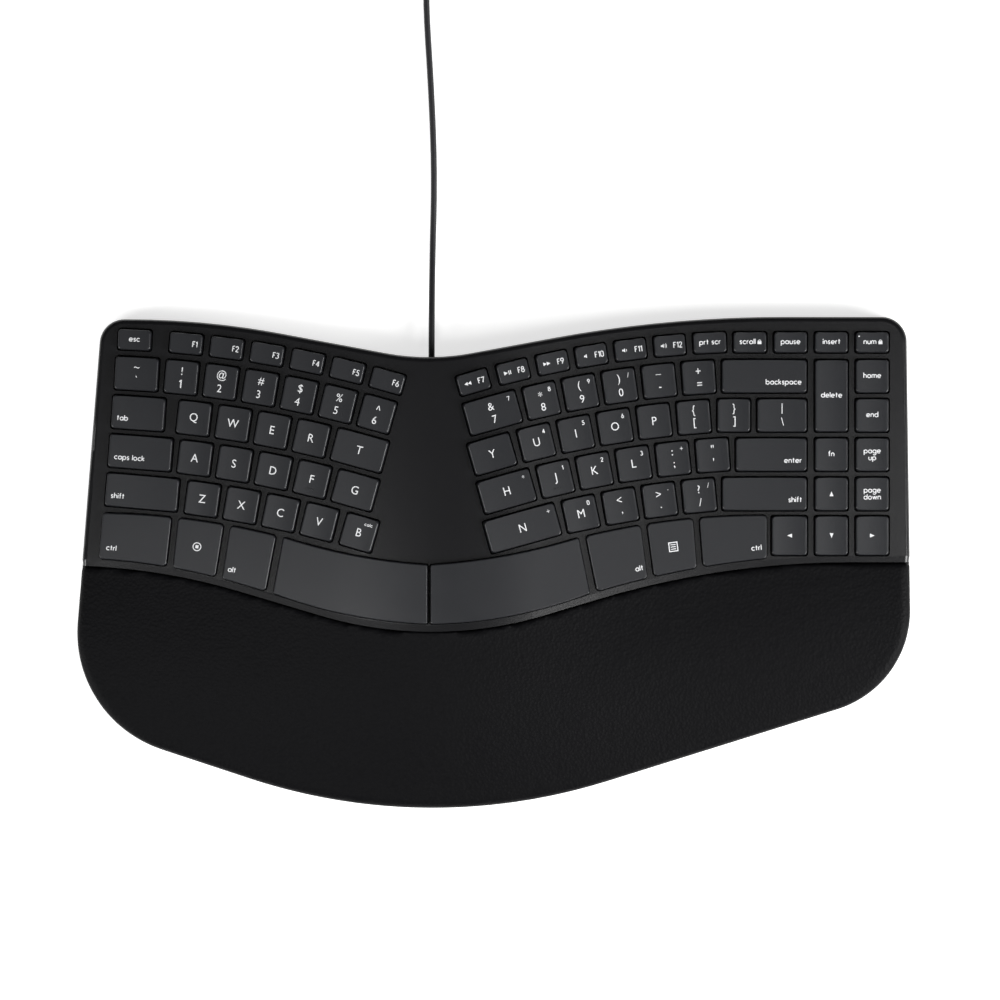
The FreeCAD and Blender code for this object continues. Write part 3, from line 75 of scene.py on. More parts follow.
def add(tree, kind, values=None, links=None, **settings):
    """Adds a node with its settings, the values of its inputs and the sockets they are linked to."""
    node = tree.nodes.new(kind)
    for name, value in settings.items():
        setattr(node, name, value)
    for name, value in (values or {}).items():
        node.inputs[name].default_value = value
    for name, socket in (links or {}).items():
        tree.links.new(socket, node.inputs[name])
    return node


world = bpy.data.worlds.new("studio")
bpy.context.scene.world = world
world.use_nodes = True
world.node_tree.nodes["Background"].inputs["Color"].default_value = linear("#FFFFFF")
world.node_tree.nodes["Background"].inputs["Strength"].default_value = 0.06

for name, place, size, power in (
    ("lamp_right", (1.3, -0.55, 0.95), 0.9, 32.0),
    ("lamp_left", (-1.7, -0.9, 1.2), 1.0, 26.0),
    ("lamp_over_left", (-0.26, -0.23, 1.0), 0.18, 1.5),
    ("lamp_over_right", (0.35, -0.05, 1.0), 0.25, 0.42),
    ("lamp_front_right", (0.65, -0.48, 1.0), 0.35, 2.2),
):
    bpy.ops.object.light_add(type="AREA", location=place)
    lamp = bpy.context.object
    lamp.name = name
    lamp.rotation_euler = (-Vector(place)).to_track_quat("-Z", "Y").to_euler()
    lamp.data.shape = "SQUARE"
    lamp.data.size = size
    lamp.data.energy = power
    lamp.visible_camera = False

# Desk: matt white laminate. To the camera alone it is lit a little more, so that it is nearly white.
GLOW = 0.7              # strength of that extra light
bpy.ops.object.select_all(action="DESELECT")
bpy.ops.mesh.primitive_plane_add(size=8.0, location=(0, 0, 0))
floor = bpy.context.object
floor.name = "desk"
laminate = bpy.data.materials.new("matt laminate, white")
laminate.use_nodes = True
tree = laminate.node_tree
surface = tree.nodes["Principled BSDF"]
surface.inputs["Base Color"].default_value = linear("#F4F4F3")
surface.inputs["Roughness"].default_value = 0.75
surface.inputs["Specular IOR Level"].default_value = 0.2
path = add(tree, "ShaderNodeLightPath")
mirrored = add(tree, "ShaderNodeMath",
               links={0: path.outputs["Is Camera Ray"], 1: path.outputs["Is Glossy Ray"]},
               operation="MAXIMUM")
seen = add(tree, "ShaderNodeMath",
           links={0: mirrored.outputs[0], 1: path.outputs["Is Transmission Ray"]}, operation="MAXIMUM")
glow = add(tree, "ShaderNodeEmission", {"Color": linear("#FFFFFF"), "Strength": GLOW})
dark = add(tree, "ShaderNodeEmission", {"Strength": 0.0})
lit = add(tree, "ShaderNodeMixShader", links={0: seen.outputs[0], 1: dark.outputs[0], 2: glow.outputs[0]})
both = add(tree, "ShaderNodeAddShader", links={0: surface.outputs[0], 1: lit.outputs[0]})
tree.links.new(both.outputs[0], tree.nodes["Material Output"].inputs["Surface"])
floor.data.materials.append(laminate)


# Cord: a slim round USB cord in a soft black PVC jacket, 3 mm thick. It leaves a bush in the rear of
# the cover, comes down to the desk and runs away from the user. What the picture doesn't show of its
# 1.9 m is wound in four layers into a coil that a band holds, and ends in the plug.
CORD = 0.003            # diameter
EXIT = Vector((-0.029414, 0.098461, 0.011))
CORD_Z = 0.00155        # middle of the cord where it lies on the desk
COIL_Z = 0.0025         # middle of the lowest turns, which lie on the band
route = [
    EXIT + Vector((0.0, -0.0003, 0.0)),
    EXIT + Vector((0.0, 0.0175, 0.0)),
    Vector((EXIT.x + 0.0003, EXIT.y + 0.0475, CORD_Z)),
    Vector((EXIT.x + 0.0014, EXIT.y + 0.0875, CORD_Z)),
    Vector((EXIT.x - 0.0002, EXIT.y + 0.1295, CORD_Z)),
    Vector((EXIT.x - 0.0030, EXIT.y + 0.1715, CORD_Z)),
]
RING = 0.017            # radius at the middle of the turns
TURNS = 3.5             # in each layer
STEP = 0.00405          # from one turn to the next
LIFT = 0.0035           # from one layer to the next
LAYERS = 4
OUTER = RING + STEP * TURNS / 2
ASIDE = 0.0026          # from the exit to the outermost turn, leftwards
BEHIND = 0.2045         # from the exit to the middle of the coil
coil_centre = Vector((EXIT.x - ASIDE - OUTER, EXIT.y + BEHIND, 0))
PER_TURN = 16           # points of the route in a turn
layer = TURNS + 0.5
for i in range(int(PER_TURN * (LAYERS * layer - 0.5)) + 1):
    turn = i / PER_TURN
    number = min(int(turn / layer), LAYERS - 1)
    within = turn - number * layer
    drift = min(within, TURNS) * STEP
    radius = OUTER - drift if number % 2 == 0 else OUTER - TURNS * STEP + drift
    height = COIL_Z + (number + 2 * max(within - TURNS, 0)) * LIFT
    angle = 2 * math.pi * turn
    out = Vector((math.cos(angle), math.sin(angle), 0))
    route.append(coil_centre + out * radius / math.cos(math.pi / PER_TURN) + Vector((0, 0, height)))
PLUG_Z = 0.00405        # middle of the plug
SWING = 0.009           # how far the last half turn swings out of the coil
WIDER = 1.01            # its points stand this much outside the curve that they draw
TOP_Z = COIL_Z + (LAYERS - 1) * LIFT
for i in range(1, 9):
    share = i / 8
    angle = math.pi * (1 + share)
    out = Vector((math.cos(angle), math.sin(angle), 0))
    height = TOP_Z + (PLUG_Z - TOP_Z) * share
    route.append(coil_centre + out * (OUTER + SWING * share) * WIDER + Vector((0, 0, height)))
plug_x = coil_centre.x + OUTER + SWING
for ahead in (0.006, 0.011):        # the cord runs straight into the plug's grip
    route.append(Vector((plug_x, coil_centre.y + ahead, PLUG_Z)))

line = bpy.data.curves.new("cord", "CURVE")
line.dimensions = "3D"
line.bevel_depth = CORD / 2
line.bevel_resolution = 5
line.resolution_u = 4
line.use_fill_caps = True
spline = line.splines.new("NURBS")
spline.points.add(len(route) - 1)
for point, place in zip(spline.points, route):
    point.co = (*place, 1.0)
spline.order_u = 3
spline.use_endpoint_u = True
cord = bpy.data.objects.new("cord", line)
bpy.context.scene.collection.objects.link(cord)

# Soft PVC: extruded, so it is smooth and a little waxy, with faint waves about 6 mm long.
jacket = bpy.data.materials.new("soft PVC, extruded, black")
jacket.use_nodes = True
tree = jacket.node_tree
surface = tree.nodes["Principled BSDF"]
place = add(tree, "ShaderNodeTexCoord")
waves = add(tree, "ShaderNodeTexNoise", {"Scale": 160.0, "Detail": 3.0},
            {"Vector": place.outputs["Object"]})
tint = add(tree, "ShaderNodeMix", {6: linear("#17171A"), 7: linear("#232327")},
           {0: waves.outputs["Fac"]}, data_type="RGBA")
tree.links.new(tint.outputs[2], surface.inputs["Base Color"])
bump = add(tree, "ShaderNodeBump", {"Strength": 0.15, "Distance": 0.0002}, {"Height": waves.outputs["Fac"]})
tree.links.new(bump.outputs["Normal"], surface.inputs["Normal"])
surface.inputs["Roughness"].default_value = 0.42
surface.inputs["IOR"].default_value = 1.53
line.materials.append(jacket)

nodes = frame["nodes"]
bodies = frame["record"]["behaviour"]["bodies"]
node_body = {node: body for body, members in bodies.items() for node in members}
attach(cord, node_body["usb_cable"])
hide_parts("usb_cable", "cable_coil")


# Pieces on the cord: the bush in the cover's wall and the plug's grip are moulded PVC, the band is
# woven polyester, and the plug has a folded, nickel-plated shell round a white plastic tongue.
def finish(node, material):
    """Gives a CAD node its material."""
    for slot in nodes[node].material_slots:
        slot.material = material


grip_pvc = bpy.data.materials.new("PVC, moulded, matt black")
grip_pvc.use_nodes = True
tree = grip_pvc.node_tree
surface = tree.nodes["Principled BSDF"]
place = add(tree, "ShaderNodeTexCoord")
grain = add(tree, "ShaderNodeTexNoise", {"Scale": 2600.0, "Detail": 2.0},
            {"Vector": place.outputs["Object"]})
tint = add(tree, "ShaderNodeMix", {6: linear("#161618"), 7: linear("#222225")},
           {0: grain.outputs["Fac"]}, data_type="RGBA")
tree.links.new(tint.outputs[2], surface.inputs["Base Color"])
bump = add(tree, "ShaderNodeBump", {"Strength": 0.3, "Distance": 0.00015}, {"Height": grain.outputs["Fac"]})
tree.links.new(bump.outputs["Normal"], surface.inputs["Normal"])
surface.inputs["Roughness"].default_value = 0.55
surface.inputs["IOR"].default_value = 1.53
finish("cable_strain_relief", grip_pvc)
finish("usb_plug_grip", grip_pvc)

# Woven polyester: ribs about 1.2 mm apart, with a faint sheen.
webbing = bpy.data.materials.new("woven polyester band, black")
webbing.use_nodes = True
tree = webbing.node_tree
surface = tree.nodes["Principled BSDF"]
place = add(tree, "ShaderNodeTexCoord")
warp = add(tree, "ShaderNodeTexWave", {"Scale": 260.0, "Distortion": 0.4},
           {"Vector": place.outputs["Object"]}, bands_direction="Y")
tint = add(tree, "ShaderNodeMix", {6: linear("#141416"), 7: linear("#2C2C30")}, {0: warp.outputs["Fac"]},
           data_type="RGBA")
tree.links.new(tint.outputs[2], surface.inputs["Base Color"])
bump = add(tree, "ShaderNodeBump", {"Strength": 0.6, "Distance": 0.0002}, {"Height": warp.outputs["Fac"]})
tree.links.new(bump.outputs["Normal"], surface.inputs["Normal"])
surface.inputs["Roughness"].default_value = 0.85
surface.inputs["Sheen Weight"].default_value = 0.2
finish("cable_tie", webbing)

# Nickel plating: bright and faintly scratched. The white tongue lies inside the shell, so a box a
# little smaller than the shell tells the two apart.
SHELL_SIDE = 0.00035    # from the shell's outside in to that box, at the sides
SHELL_FLAT = 0.00029    # the same above and below
nickel = bpy.data.materials.new("steel, nickel-plated, with white PBT tongue")
nickel.use_nodes = True
tree = nickel.node_tree
surface = tree.nodes["Principled BSDF"]
place = add(tree, "ShaderNodeTexCoord")
low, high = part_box("usb_plug_contacts")
middle = (low + high) / 2
seen_from = add(tree, "ShaderNodeMapping", {"Location": tuple(-middle)},
                {"Vector": place.outputs["Object"]}, vector_type="POINT")
parts = add(tree, "ShaderNodeSeparateXYZ", links={0: seen_from.outputs[0]})
away = add(tree, "ShaderNodeMath", links={0: parts.outputs["X"]}, operation="ABSOLUTE")
inside = add(tree, "ShaderNodeMath", {1: (high.x - low.x) / 2 - SHELL_SIDE}, {0: away.outputs[0]},
             operation="LESS_THAN")
above = add(tree, "ShaderNodeMath", links={0: parts.outputs["Z"]}, operation="ABSOLUTE")
within = add(tree, "ShaderNodeMath", {1: (high.z - low.z) / 2 - SHELL_FLAT}, {0: above.outputs[0]},
             operation="LESS_THAN")
tongue = add(tree, "ShaderNodeMath", links={0: inside.outputs[0], 1: within.outputs[0]},
             operation="MULTIPLY")
scratch = add(tree, "ShaderNodeTexNoise", {"Scale": 900.0, "Detail": 4.0},
              {"Vector": place.outputs["Object"]})
plate = add(tree, "ShaderNodeMix", {6: linear("#B9B7B0"), 7: linear("#D2D0CA")},
            {0: scratch.outputs["Fac"]}, data_type="RGBA")
tint = add(tree, "ShaderNodeMix", {7: linear("#E4E3DF")}, {0: tongue.outputs[0], 6: plate.outputs[2]},
           data_type="RGBA")
tree.links.new(tint.outputs[2], surface.inputs["Base Color"])
metal = add(tree, "ShaderNodeMath", {0: 1.0}, {1: tongue.outputs[0]}, operation="SUBTRACT")
tree.links.new(metal.outputs[0], surface.inputs["Metallic"])
surface.inputs["Roughness"].default_value = 0.28
finish("usb_plug_contacts", nickel)


# Upper case: one large ABS moulding with the arched deck and the key openings. Its outside has an
# even spark-eroded texture, which keeps the surface a soft black. Its grains are drawn at 0.7 mm,
# coarser than they are, so that they show.
case_abs = bpy.data.materials.new("ABS, moulded, spark-eroded, black")
case_abs.use_nodes = True
tree = case_abs.node_tree
surface = tree.nodes["Principled BSDF"]
place = add(tree, "ShaderNodeTexCoord")
grain = add(tree, "ShaderNodeTexNoise", {"Scale": 1500.0, "Detail": 3.0, "Roughness": 0.6},
            {"Vector": place.outputs["Object"]})
cloud = add(tree, "ShaderNodeTexNoise", {"Scale": 9.0, "Detail": 2.0}, {"Vector": place.outputs["Object"]})
tint = add(tree, "ShaderNodeMix", {6: linear("#0D0D0F"), 7: linear("#121214")},
           {0: grain.outputs["Fac"]}, data_type="RGBA")
tree.links.new(tint.outputs[2], surface.inputs["Base Color"])
worn = add(tree, "ShaderNodeMapRange", {"To Min": 0.24, "To Max": 0.28}, {"Value": cloud.outputs["Fac"]})
tree.links.new(worn.outputs[0], surface.inputs["Roughness"])
bump = add(tree, "ShaderNodeBump", {"Strength": 0.25, "Distance": 0.0001}, {"Height": grain.outputs["Fac"]})
tree.links.new(bump.outputs["Normal"], surface.inputs["Normal"])
surface.inputs["IOR"].default_value = 1.5
finish("top_cover", case_abs)


# Keys: hollow ABS caps with a finer and slightly greyer finish than the case, drawn at 0.45 mm. Their
# tops are dished from side to side, and finger oils leave them smoother in some places than in others.
key_abs = bpy.data.materials.new("ABS keycap, moulded, fine matt, charcoal")
key_abs.use_nodes = True
tree = key_abs.node_tree
surface = tree.nodes["Principled BSDF"]
place = add(tree, "ShaderNodeTexCoord")
grain = add(tree, "ShaderNodeTexNoise", {"Scale": 2200.0, "Detail": 2.0},
            {"Vector": place.outputs["Object"]})
cloud = add(tree, "ShaderNodeTexNoise", {"Scale": 60.0, "Detail": 2.0}, {"Vector": place.outputs["Object"]})
tint = add(tree, "ShaderNodeMix", {6: linear("#1E1F22"), 7: linear("#26272A")},
           {0: grain.outputs["Fac"]}, data_type="RGBA")
tree.links.new(tint.outputs[2], surface.inputs["Base Color"])
worn = add(tree, "ShaderNodeMapRange", {"To Min": 0.27, "To Max": 0.34}, {"Value": cloud.outputs["Fac"]})
tree.links.new(worn.outputs[0], surface.inputs["Roughness"])
bump = add(tree, "ShaderNodeBump", {"Strength": 0.15, "Distance": 0.00008},
           {"Height": grain.outputs["Fac"]})
tree.links.new(bump.outputs["Normal"], surface.inputs["Normal"])
surface.inputs["IOR"].default_value = 1.5
for node in nodes:
    if node.startswith(("key_", "keys_")) and node != "key_guide_plate":
        finish(node, key_abs)


# Legends: white UV-cured ink, printed on the caps in a thin, even layer. Letters and most words sit in
# the middle of a cap, the words of wide keys at a lower corner, and the figures and signs of the number
# pad small at the upper right.
ink = bpy.data.materials.new("UV-cured ink, white")
ink.use_nodes = True
tree = ink.node_tree
surface = tree.nodes["Principled BSDF"]
place = add(tree, "ShaderNodeTexCoord")
speck = add(tree, "ShaderNodeTexNoise", {"Scale": 4000.0, "Detail": 2.0},
            {"Vector": place.outputs["Object"]})
tint = add(tree, "ShaderNodeMix", {6: linear("#D9DADC"), 7: linear("#F1F2F3")},
           {0: speck.outputs["Fac"]}, data_type="RGBA")
tree.links.new(tint.outputs[2], surface.inputs["Base Color"])
surface.inputs["Roughness"].default_value = 0.5

COLUMN = 0.002          # caps whose middles are this near in x stand in one column
LEVEL = 0.94            # the normals of a cap's top point up at least this much
SAME = 0.000001         # corners this near are one


def key_tops(node, down=False):
    """Centre, turn, half width and half depth of each cap's top, by columns or, with down, from the back."""
    mesh = bmesh.new()
    mesh.from_mesh(nodes[node].data)
    bmesh.ops.remove_doubles(mesh, verts=mesh.verts, dist=SAME)
    tops, left = [], set(mesh.verts)
    while left:
        island, edge = set(), [left.pop()]
        while edge:
            vert = edge.pop()
            island.add(vert)
            near = {e.other_vert(vert) for e in vert.link_edges} & left
            left -= near
            edge.extend(near)
        level = {v for v in island if any(f.normal.z > LEVEL for f in v.link_faces)}
        best = None         # the smallest box round the top, over turns by half a degree
        for step in range(-50, 51):
            turn = math.radians(step / 2)
            along = [v.co.x * math.cos(turn) + v.co.y * math.sin(turn) for v in level]
            across = [v.co.y * math.cos(turn) - v.co.x * math.sin(turn) for v in level]
            wide, deep = max(along) - min(along), max(across) - min(across)
            if best is None or wide * deep < best[0]:
                a, b = (max(along) + min(along)) / 2, (max(across) + min(across)) / 2
                centre = (a * math.cos(turn) - b * math.sin(turn), a * math.sin(turn) + b * math.cos(turn))
                best = (wide * deep, centre, turn, wide / 2, deep / 2)
        tops.append(best[1:])
    mesh.free()
    order = (lambda top: -top[0][1]) if down else (lambda top: (round(top[0][0] / COLUMN), -top[0][1]))
    return sorted(tops, key=order)


NARROW = 0.92           # width of the capitals beside the typeface's own


def written(text, size):
    """Capitals and figures in millimetres as a mesh."""
    bpy.ops.object.select_all(action="DESELECT")
    bpy.ops.object.text_add()
    letters = bpy.context.object
    letters.data.body = text
    letters.data.size = size
    letters.data.resolution_u = 3
    bpy.ops.object.convert(target="MESH")
    letters = bpy.context.object
    letters.data.transform(Matrix.Scale(NARROW, 4, (1, 0, 0)))
    return letters


HAIR = 0.002            # in millimetres


def drawn(shapes):
    """Closed outlines in millimetres as a mesh of flat faces, each a hair above the one before."""
    data = bpy.data.meshes.new("sign")
    corners, faces = [], []
    for i, shape in enumerate(shapes):
        faces.append(list(range(len(corners), len(corners) + len(shape))))
        corners += [(x, y, HAIR * i) for x, y in shape]
    data.from_pydata(corners, [], faces)
    sign = bpy.data.objects.new("sign", data)
    bpy.context.scene.collection.objects.link(sign)
    return sign


def box_shape(x, y, wide, deep):
    """A rectangle about a point."""
    a, b = wide / 2, deep / 2
    return [(x - a, y - b), (x + a, y - b), (x + a, y + b), (x - a, y + b)]


def wedge(x, y, wide, deep):
    """A triangle that points right, or left when wide is negative."""
    return [(x - wide / 2, y - deep / 2), (x + wide / 2, y), (x - wide / 2, y + deep / 2)]


BEND = 22.5             # degrees in each step of an arc


def bow(x, y, radius, line, start, end):
    """An arc of even width, in degrees."""
    steps = max(3, round(abs(end - start) / BEND))
    angles = [math.radians(start + (end - start) * i / steps) for i in range(steps + 1)]
    wide, tight = radius + line / 2, radius - line / 2
    outer = [(x + wide * math.cos(a), y + wide * math.sin(a)) for a in angles]
    inner = [(x + tight * math.cos(a), y + tight * math.sin(a)) for a in reversed(angles)]
    return outer + inner


def bar(x0, y0, x1, y1, line):
    """A straight stroke from one point to another."""
    length = math.hypot(x1 - x0, y1 - y0)
    a, b = (y0 - y1) / length * line / 2, (x1 - x0) / length * line / 2
    return [(x0 - a, y0 - b), (x1 - a, y1 - b), (x1 + a, y1 + b), (x0 + a, y0 + b)]


# Small letters and figures as strokes, with an x-height of 1: width, then arcs (middle, radius, two
# angles) and straight strokes (two ends). They are round and even, as on the real caps.
ROUND = (0.5, 0.5, 0.5, 0, 180), (0.5, 0.5, 0.5, 180, 360)
ARCH = (0.41, 0.59, 0.41, 0, 180)
STROKES = {
    "a": (1.0, *ROUND, (1.0, 0, 1.0, 1.0)), "b": (1.0, *ROUND, (0, 0, 0, 1.6)),
    "c": (0.85, (0.5, 0.5, 0.5, 45, 315)), "d": (1.0, *ROUND, (1.0, 0, 1.0, 1.6)),
    "e": (1.0, (0.5, 0.5, 0.5, 0, 315), (0.1, 0.5, 1.0, 0.5)),
    "f": (0.55, (0.25, 0, 0.25, 1.3), (0.55, 1.3, 0.3, 90, 180), (0, 1.0, 0.55, 1.0)),
    "g": (1.0, *ROUND, (1.0, 1.0, 1.0, -0.1), (0.5, -0.1, 0.5, 210, 360)),
    "h": (0.82, (0, 0, 0, 1.6), ARCH, (0.82, 0, 0.82, 0.59)), "i": (0.0, (0, 0, 0, 1.0), (0, 1.3, 0, 1.55)),
    "k": (0.7, (0, 0, 0, 1.6), (0, 0.4, 0.65, 1.0), (0.2, 0.6, 0.7, 0)), "l": (0.0, (0, 0, 0, 1.6)),
    "m": (1.4, (0, 0, 0, 1.0), (0.35, 0.65, 0.35, 0, 180), (0.7, 0, 0.7, 0.65),
          (1.05, 0.65, 0.35, 0, 180), (1.4, 0, 1.4, 0.65)),
    "n": (0.82, (0, 0, 0, 1.0), ARCH, (0.82, 0, 0.82, 0.59)),
    "o": (1.0, *ROUND), "p": (1.0, *ROUND, (0, 1.0, 0, -0.6)),
    "r": (0.45, (0, 0, 0, 1.0), (0.4, 0.6, 0.4, 80, 180)),
    "s": (0.6, (0.3, 0.75, 0.25, 20, 270), (0.3, 0.25, 0.25, -160, 90)),
    "t": (0.55, (0.25, 0, 0.25, 1.45), (0, 1.0, 0.55, 1.0)),
    "u": (0.82, (0.41, 0.41, 0.41, 180, 360), (0, 0.41, 0, 1.0), (0.82, 0, 0.82, 1.0)),
    "w": (1.25, (0, 1.0, 0.3, 0), (0.3, 0, 0.62, 1.0), (0.62, 1.0, 0.94, 0), (0.94, 0, 1.25, 1.0)),
    " ": (0.35,),
    "F": (0.6, (0, 0, 0, 1.6), (0, 1.6, 0.65, 1.6), (0, 0.85, 0.5, 0.85)),
    "0": (0.8, (0.4, 1.2, 0.4, 0, 180), (0.4, 0.4, 0.4, 180, 360), (0, 0.4, 0, 1.2), (0.8, 0.4, 0.8, 1.2)),
    "1": (0.35, (0.35, 0, 0.35, 1.7), (0, 1.3, 0.35, 1.6)),
    "2": (0.75, (0.37, 1.2, 0.38, -35, 180), (0.68, 0.98, 0, 0), (0, 0, 0.8, 0)),
    "3": (0.75, (0.35, 1.22, 0.36, -90, 150), (0.33, 0.43, 0.43, -150, 90)),
    "4": (0.85, (0.65, 0, 0.65, 1.6), (0.65, 1.6, 0, 0.45), (0, 0.45, 0.9, 0.45)),
    "5": (0.75, (0.15, 1.6, 0.75, 1.6), (0.15, 1.6, 0.12, 0.85), (0.3, 0.46, 0.46, -150, 115)),
    "6": (0.84, (0.42, 0.42, 0.42, 0, 180), (0.42, 0.42, 0.42, 180, 360), (0.04, 0.55, 0.55, 1.6)),
    "7": (0.8, (-0.1, 1.55, 0.95, 1.55), (0.85, 1.6, 0.25, 0)),
    "8": (0.84, (0.42, 1.22, 0.36, 0, 180), (0.42, 1.22, 0.36, 180, 360),
          (0.42, 0.43, 0.43, 0, 180), (0.42, 0.43, 0.43, 180, 360)),
    "9": (0.84, (0.42, 1.18, 0.42, 0, 180), (0.42, 1.18, 0.42, 180, 360), (0.8, 1.05, 0.3, 0)),
}


LETTER_GAP = 0.16       # in millimetres


def lettered(word, tall, line):
    """A word or number in strokes, with the x-height and the stroke's width in millimetres."""
    shapes, x = [], 0.0
    for letter in word:
        width, *strokes = STROKES[letter]
        for stroke in strokes:
            if len(stroke) == 5:
                a, b, radius, start, end = stroke
                shapes.append(bow(x + a * tall, b * tall, radius * tall, line, start, end))
            else:
                x0, y0, x1, y1 = stroke
                shapes.append(bar(x + x0 * tall, y0 * tall, x + x1 * tall, y1 * tall, line))
        x += width * tall + line + LETTER_GAP
    return drawn(shapes)


speaker = [box_shape(-1.05, 0, 0.6, 0.8), [(-0.7, -0.4), (0.0, -1.0), (0.0, 1.0), (-0.7, 0.4)]]
SIGNS = {
    "back": [wedge(-0.9, 0, -1.7, 1.8), wedge(0.8, 0, -1.7, 1.8)],
    "play": [wedge(-1.0, 0, 1.8, 1.9), box_shape(0.5, 0, 0.4, 1.9), box_shape(1.3, 0, 0.4, 1.9)],
    "forward": [wedge(-0.8, 0, 1.7, 1.8), wedge(0.9, 0, 1.7, 1.8)],
    "mute": speaker,
    "softer": speaker + [bow(0.0, 0, 0.75, 0.25, -50, 50)],
    "louder": speaker + [bow(0.0, 0, 0.75, 0.25, -50, 50), bow(0.0, 0, 1.35, 0.25, -50, 50)],
    "lock": [box_shape(0, -0.5, 1.9, 1.4), bow(0, 0.2, 0.6, 0.32, 0, 180)],
    "menu": [box_shape(0, 2.1, 4.5, 0.5), box_shape(0, -2.1, 4.5, 0.5),
             box_shape(-2.0, 0, 0.5, 3.8), box_shape(2.0, 0, 0.5, 3.8),
             box_shape(0, 1.05, 2.5, 0.42), box_shape(0, 0, 2.5, 0.42), box_shape(0, -1.05, 2.5, 0.42)],
    "ring": [bow(0, 0, 1.9, 0.45, 0, 180), bow(0, 0, 1.9, 0.45, 180, 360), box_shape(0, 0, 1.5, 1.5)],
    "up": [[(-0.95, -1.15), (0.95, -1.15), (0, 1.15)]],
    "down": [[(-0.95, 1.15), (0, -1.15), (0.95, 1.15)]],
    "left": [wedge(0, 0, -2.3, 1.9)],
    "right": [wedge(0, 0, 2.3, 1.9)],
    "light": [[(0.38 * math.cos(i * math.pi / 6), 0.38 * math.sin(i * math.pi / 6)) for i in range(12)]],
}
CAP = 5.7               # sizes of the typeface in millimetres: for a letter
FIGURE = 5.4            # for a figure or a sign on a key of its own
SMALL = 3.4             # for a sign of the number pad
PAD_FIGURE = 1.2        # x-heights of the strokes: for a figure of the number pad
WORD = 1.52             # for a word
FINE_WORD = 0.9         # for the small word on the B key
KEY_F = 1.6             # for the function keys' names
FIGURE_ONE = 2.3        # for the number row's 1, which has a bolder stroke
BOLD = 0.58             # that stroke
THIN = 0.42             # the stroke of the others, or less where the x-height is small
SLIM = 3.2              # x-height over stroke, for those
BASE = -0.75            # foot of a word, from the middle of its cap
ABOVE = 0.08            # height in metres from which the marks drop on the caps
INK_GAP = 0.00003       # between cap and ink
INK = 0.00005           # thickness of the ink


def print_on(node, caps, down=False):
    """Prints the marks of each cap in a node: text or sign, x, y, size and how it is held.

    A mark held by its centre is of the typeface, or a sign if its size is 0; all others are strokes.
    Millimetres x and y run from the cap's middle to the mark's, but to the foot of a word, and x from
    the cap's edge where the word is held left or right.
    """
    pieces = []
    for (centre, turn, wide, deep), marks in zip(key_tops(node, down), caps):
        for text, x, y, size, hold in marks:
            if hold in ("word", "left", "right", "figure"):
                stroke = BOLD if size == FIGURE_ONE else min(THIN, size / SLIM)
                mark = lettered(text, size, stroke)
            else:
                mark = written(text, size) if size else drawn(SIGNS[text])
            points = [v.co for v in mark.data.vertices]
            low = Vector((min(p.x for p in points), min(p.y for p in points), 0))
            high = Vector((max(p.x for p in points), max(p.y for p in points), 0))
            at = Vector((x, y, 0)) - (low + high) / 2
            if hold in ("word", "left", "right"):
                at.y = y
            if hold == "left":
                at.x = x - wide * 1000 - low.x
            if hold == "right":
                at.x = wide * 1000 - x - high.x
            mark.data.transform(Matrix.Translation(at))
            onto = Matrix.Translation((*centre, ABOVE)) @ Matrix.Rotation(turn, 4, "Z")
            mark.data.transform(onto @ Matrix.Scale(0.001, 4))
            pieces.append(mark)
    bpy.ops.object.select_all(action="DESELECT")
    for piece in pieces:
        piece.select_set(True)
    bpy.context.view_layer.objects.active = pieces[0]
    if len(pieces) > 1:
        bpy.ops.object.join()
    legend = bpy.context.object
    legend.name = "legend_" + node.removeprefix("key_").removeprefix("keys_")
    legend.data.materials.clear()
    legend.data.materials.append(ink)
    wrap = legend.modifiers.new("print", "SHRINKWRAP")
    wrap.wrap_method = "PROJECT"
    wrap.use_project_z = True
    wrap.use_negative_direction = True
    wrap.use_positive_direction = False
    wrap.target = nodes[node]
    wrap.offset = INK_GAP
    heights = [v.co.z - ABOVE for v in legend.data.vertices]
    bpy.ops.object.modifier_apply(modifier=wrap.name)
    for vertex, height in zip(legend.data.vertices, heights):
        vertex.co.z += height
    layer_of_ink = legend.modifiers.new("layer", "SOLIDIFY")
    layer_of_ink.thickness = INK
    bpy.ops.object.modifier_apply(modifier=layer_of_ink.name)
    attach(legend, node_body[node])


PAD_SIGNS = {"u": "4", "i": "5", "o": "6", "j": "1", "k": "2", "l": "3", "m": "0", "h": "*", "n": "+"}
PAD_EDGE = 3.1          # from a letter cap's right edge in to its sign of the number pad
PAD_UP = 4.5            # from its middle up to that sign
for letter in "abcdefghijklmnopqrstuvwxyz":
    marks = [(letter.upper(), 0, 0.1, CAP, "centre")]
    if letter in PAD_SIGNS:
        small = PAD_SIGNS[letter]
        wide = key_tops("key_" + letter)[0][2] * 1000
        size, hold = (PAD_FIGURE, "figure") if small.isdigit() else (SMALL, "centre")
        marks.append((small, wide - PAD_EDGE, PAD_UP, size, hold))
    if letter == "b":
        marks.append(("calc", 3.5, 4.1, FINE_WORD, "word"))
    print_on("key_" + letter, [marks])
print_on("key_escape", [[("esc", 0, BASE, WORD, "word")]])
print_on("keys_function_left", [[("F%d" % i, 4.4, 0, KEY_F, "figure")] for i in range(1, 7)])
media = ("back", "play", "forward", "mute", "softer", "louder")
print_on("keys_function_right", [
    [(sign, -2.9, 0, 0, "centre"), ("F%d" % i, 3.8, 0, KEY_F, "figure")] for i, sign in enumerate(media, 7)
])
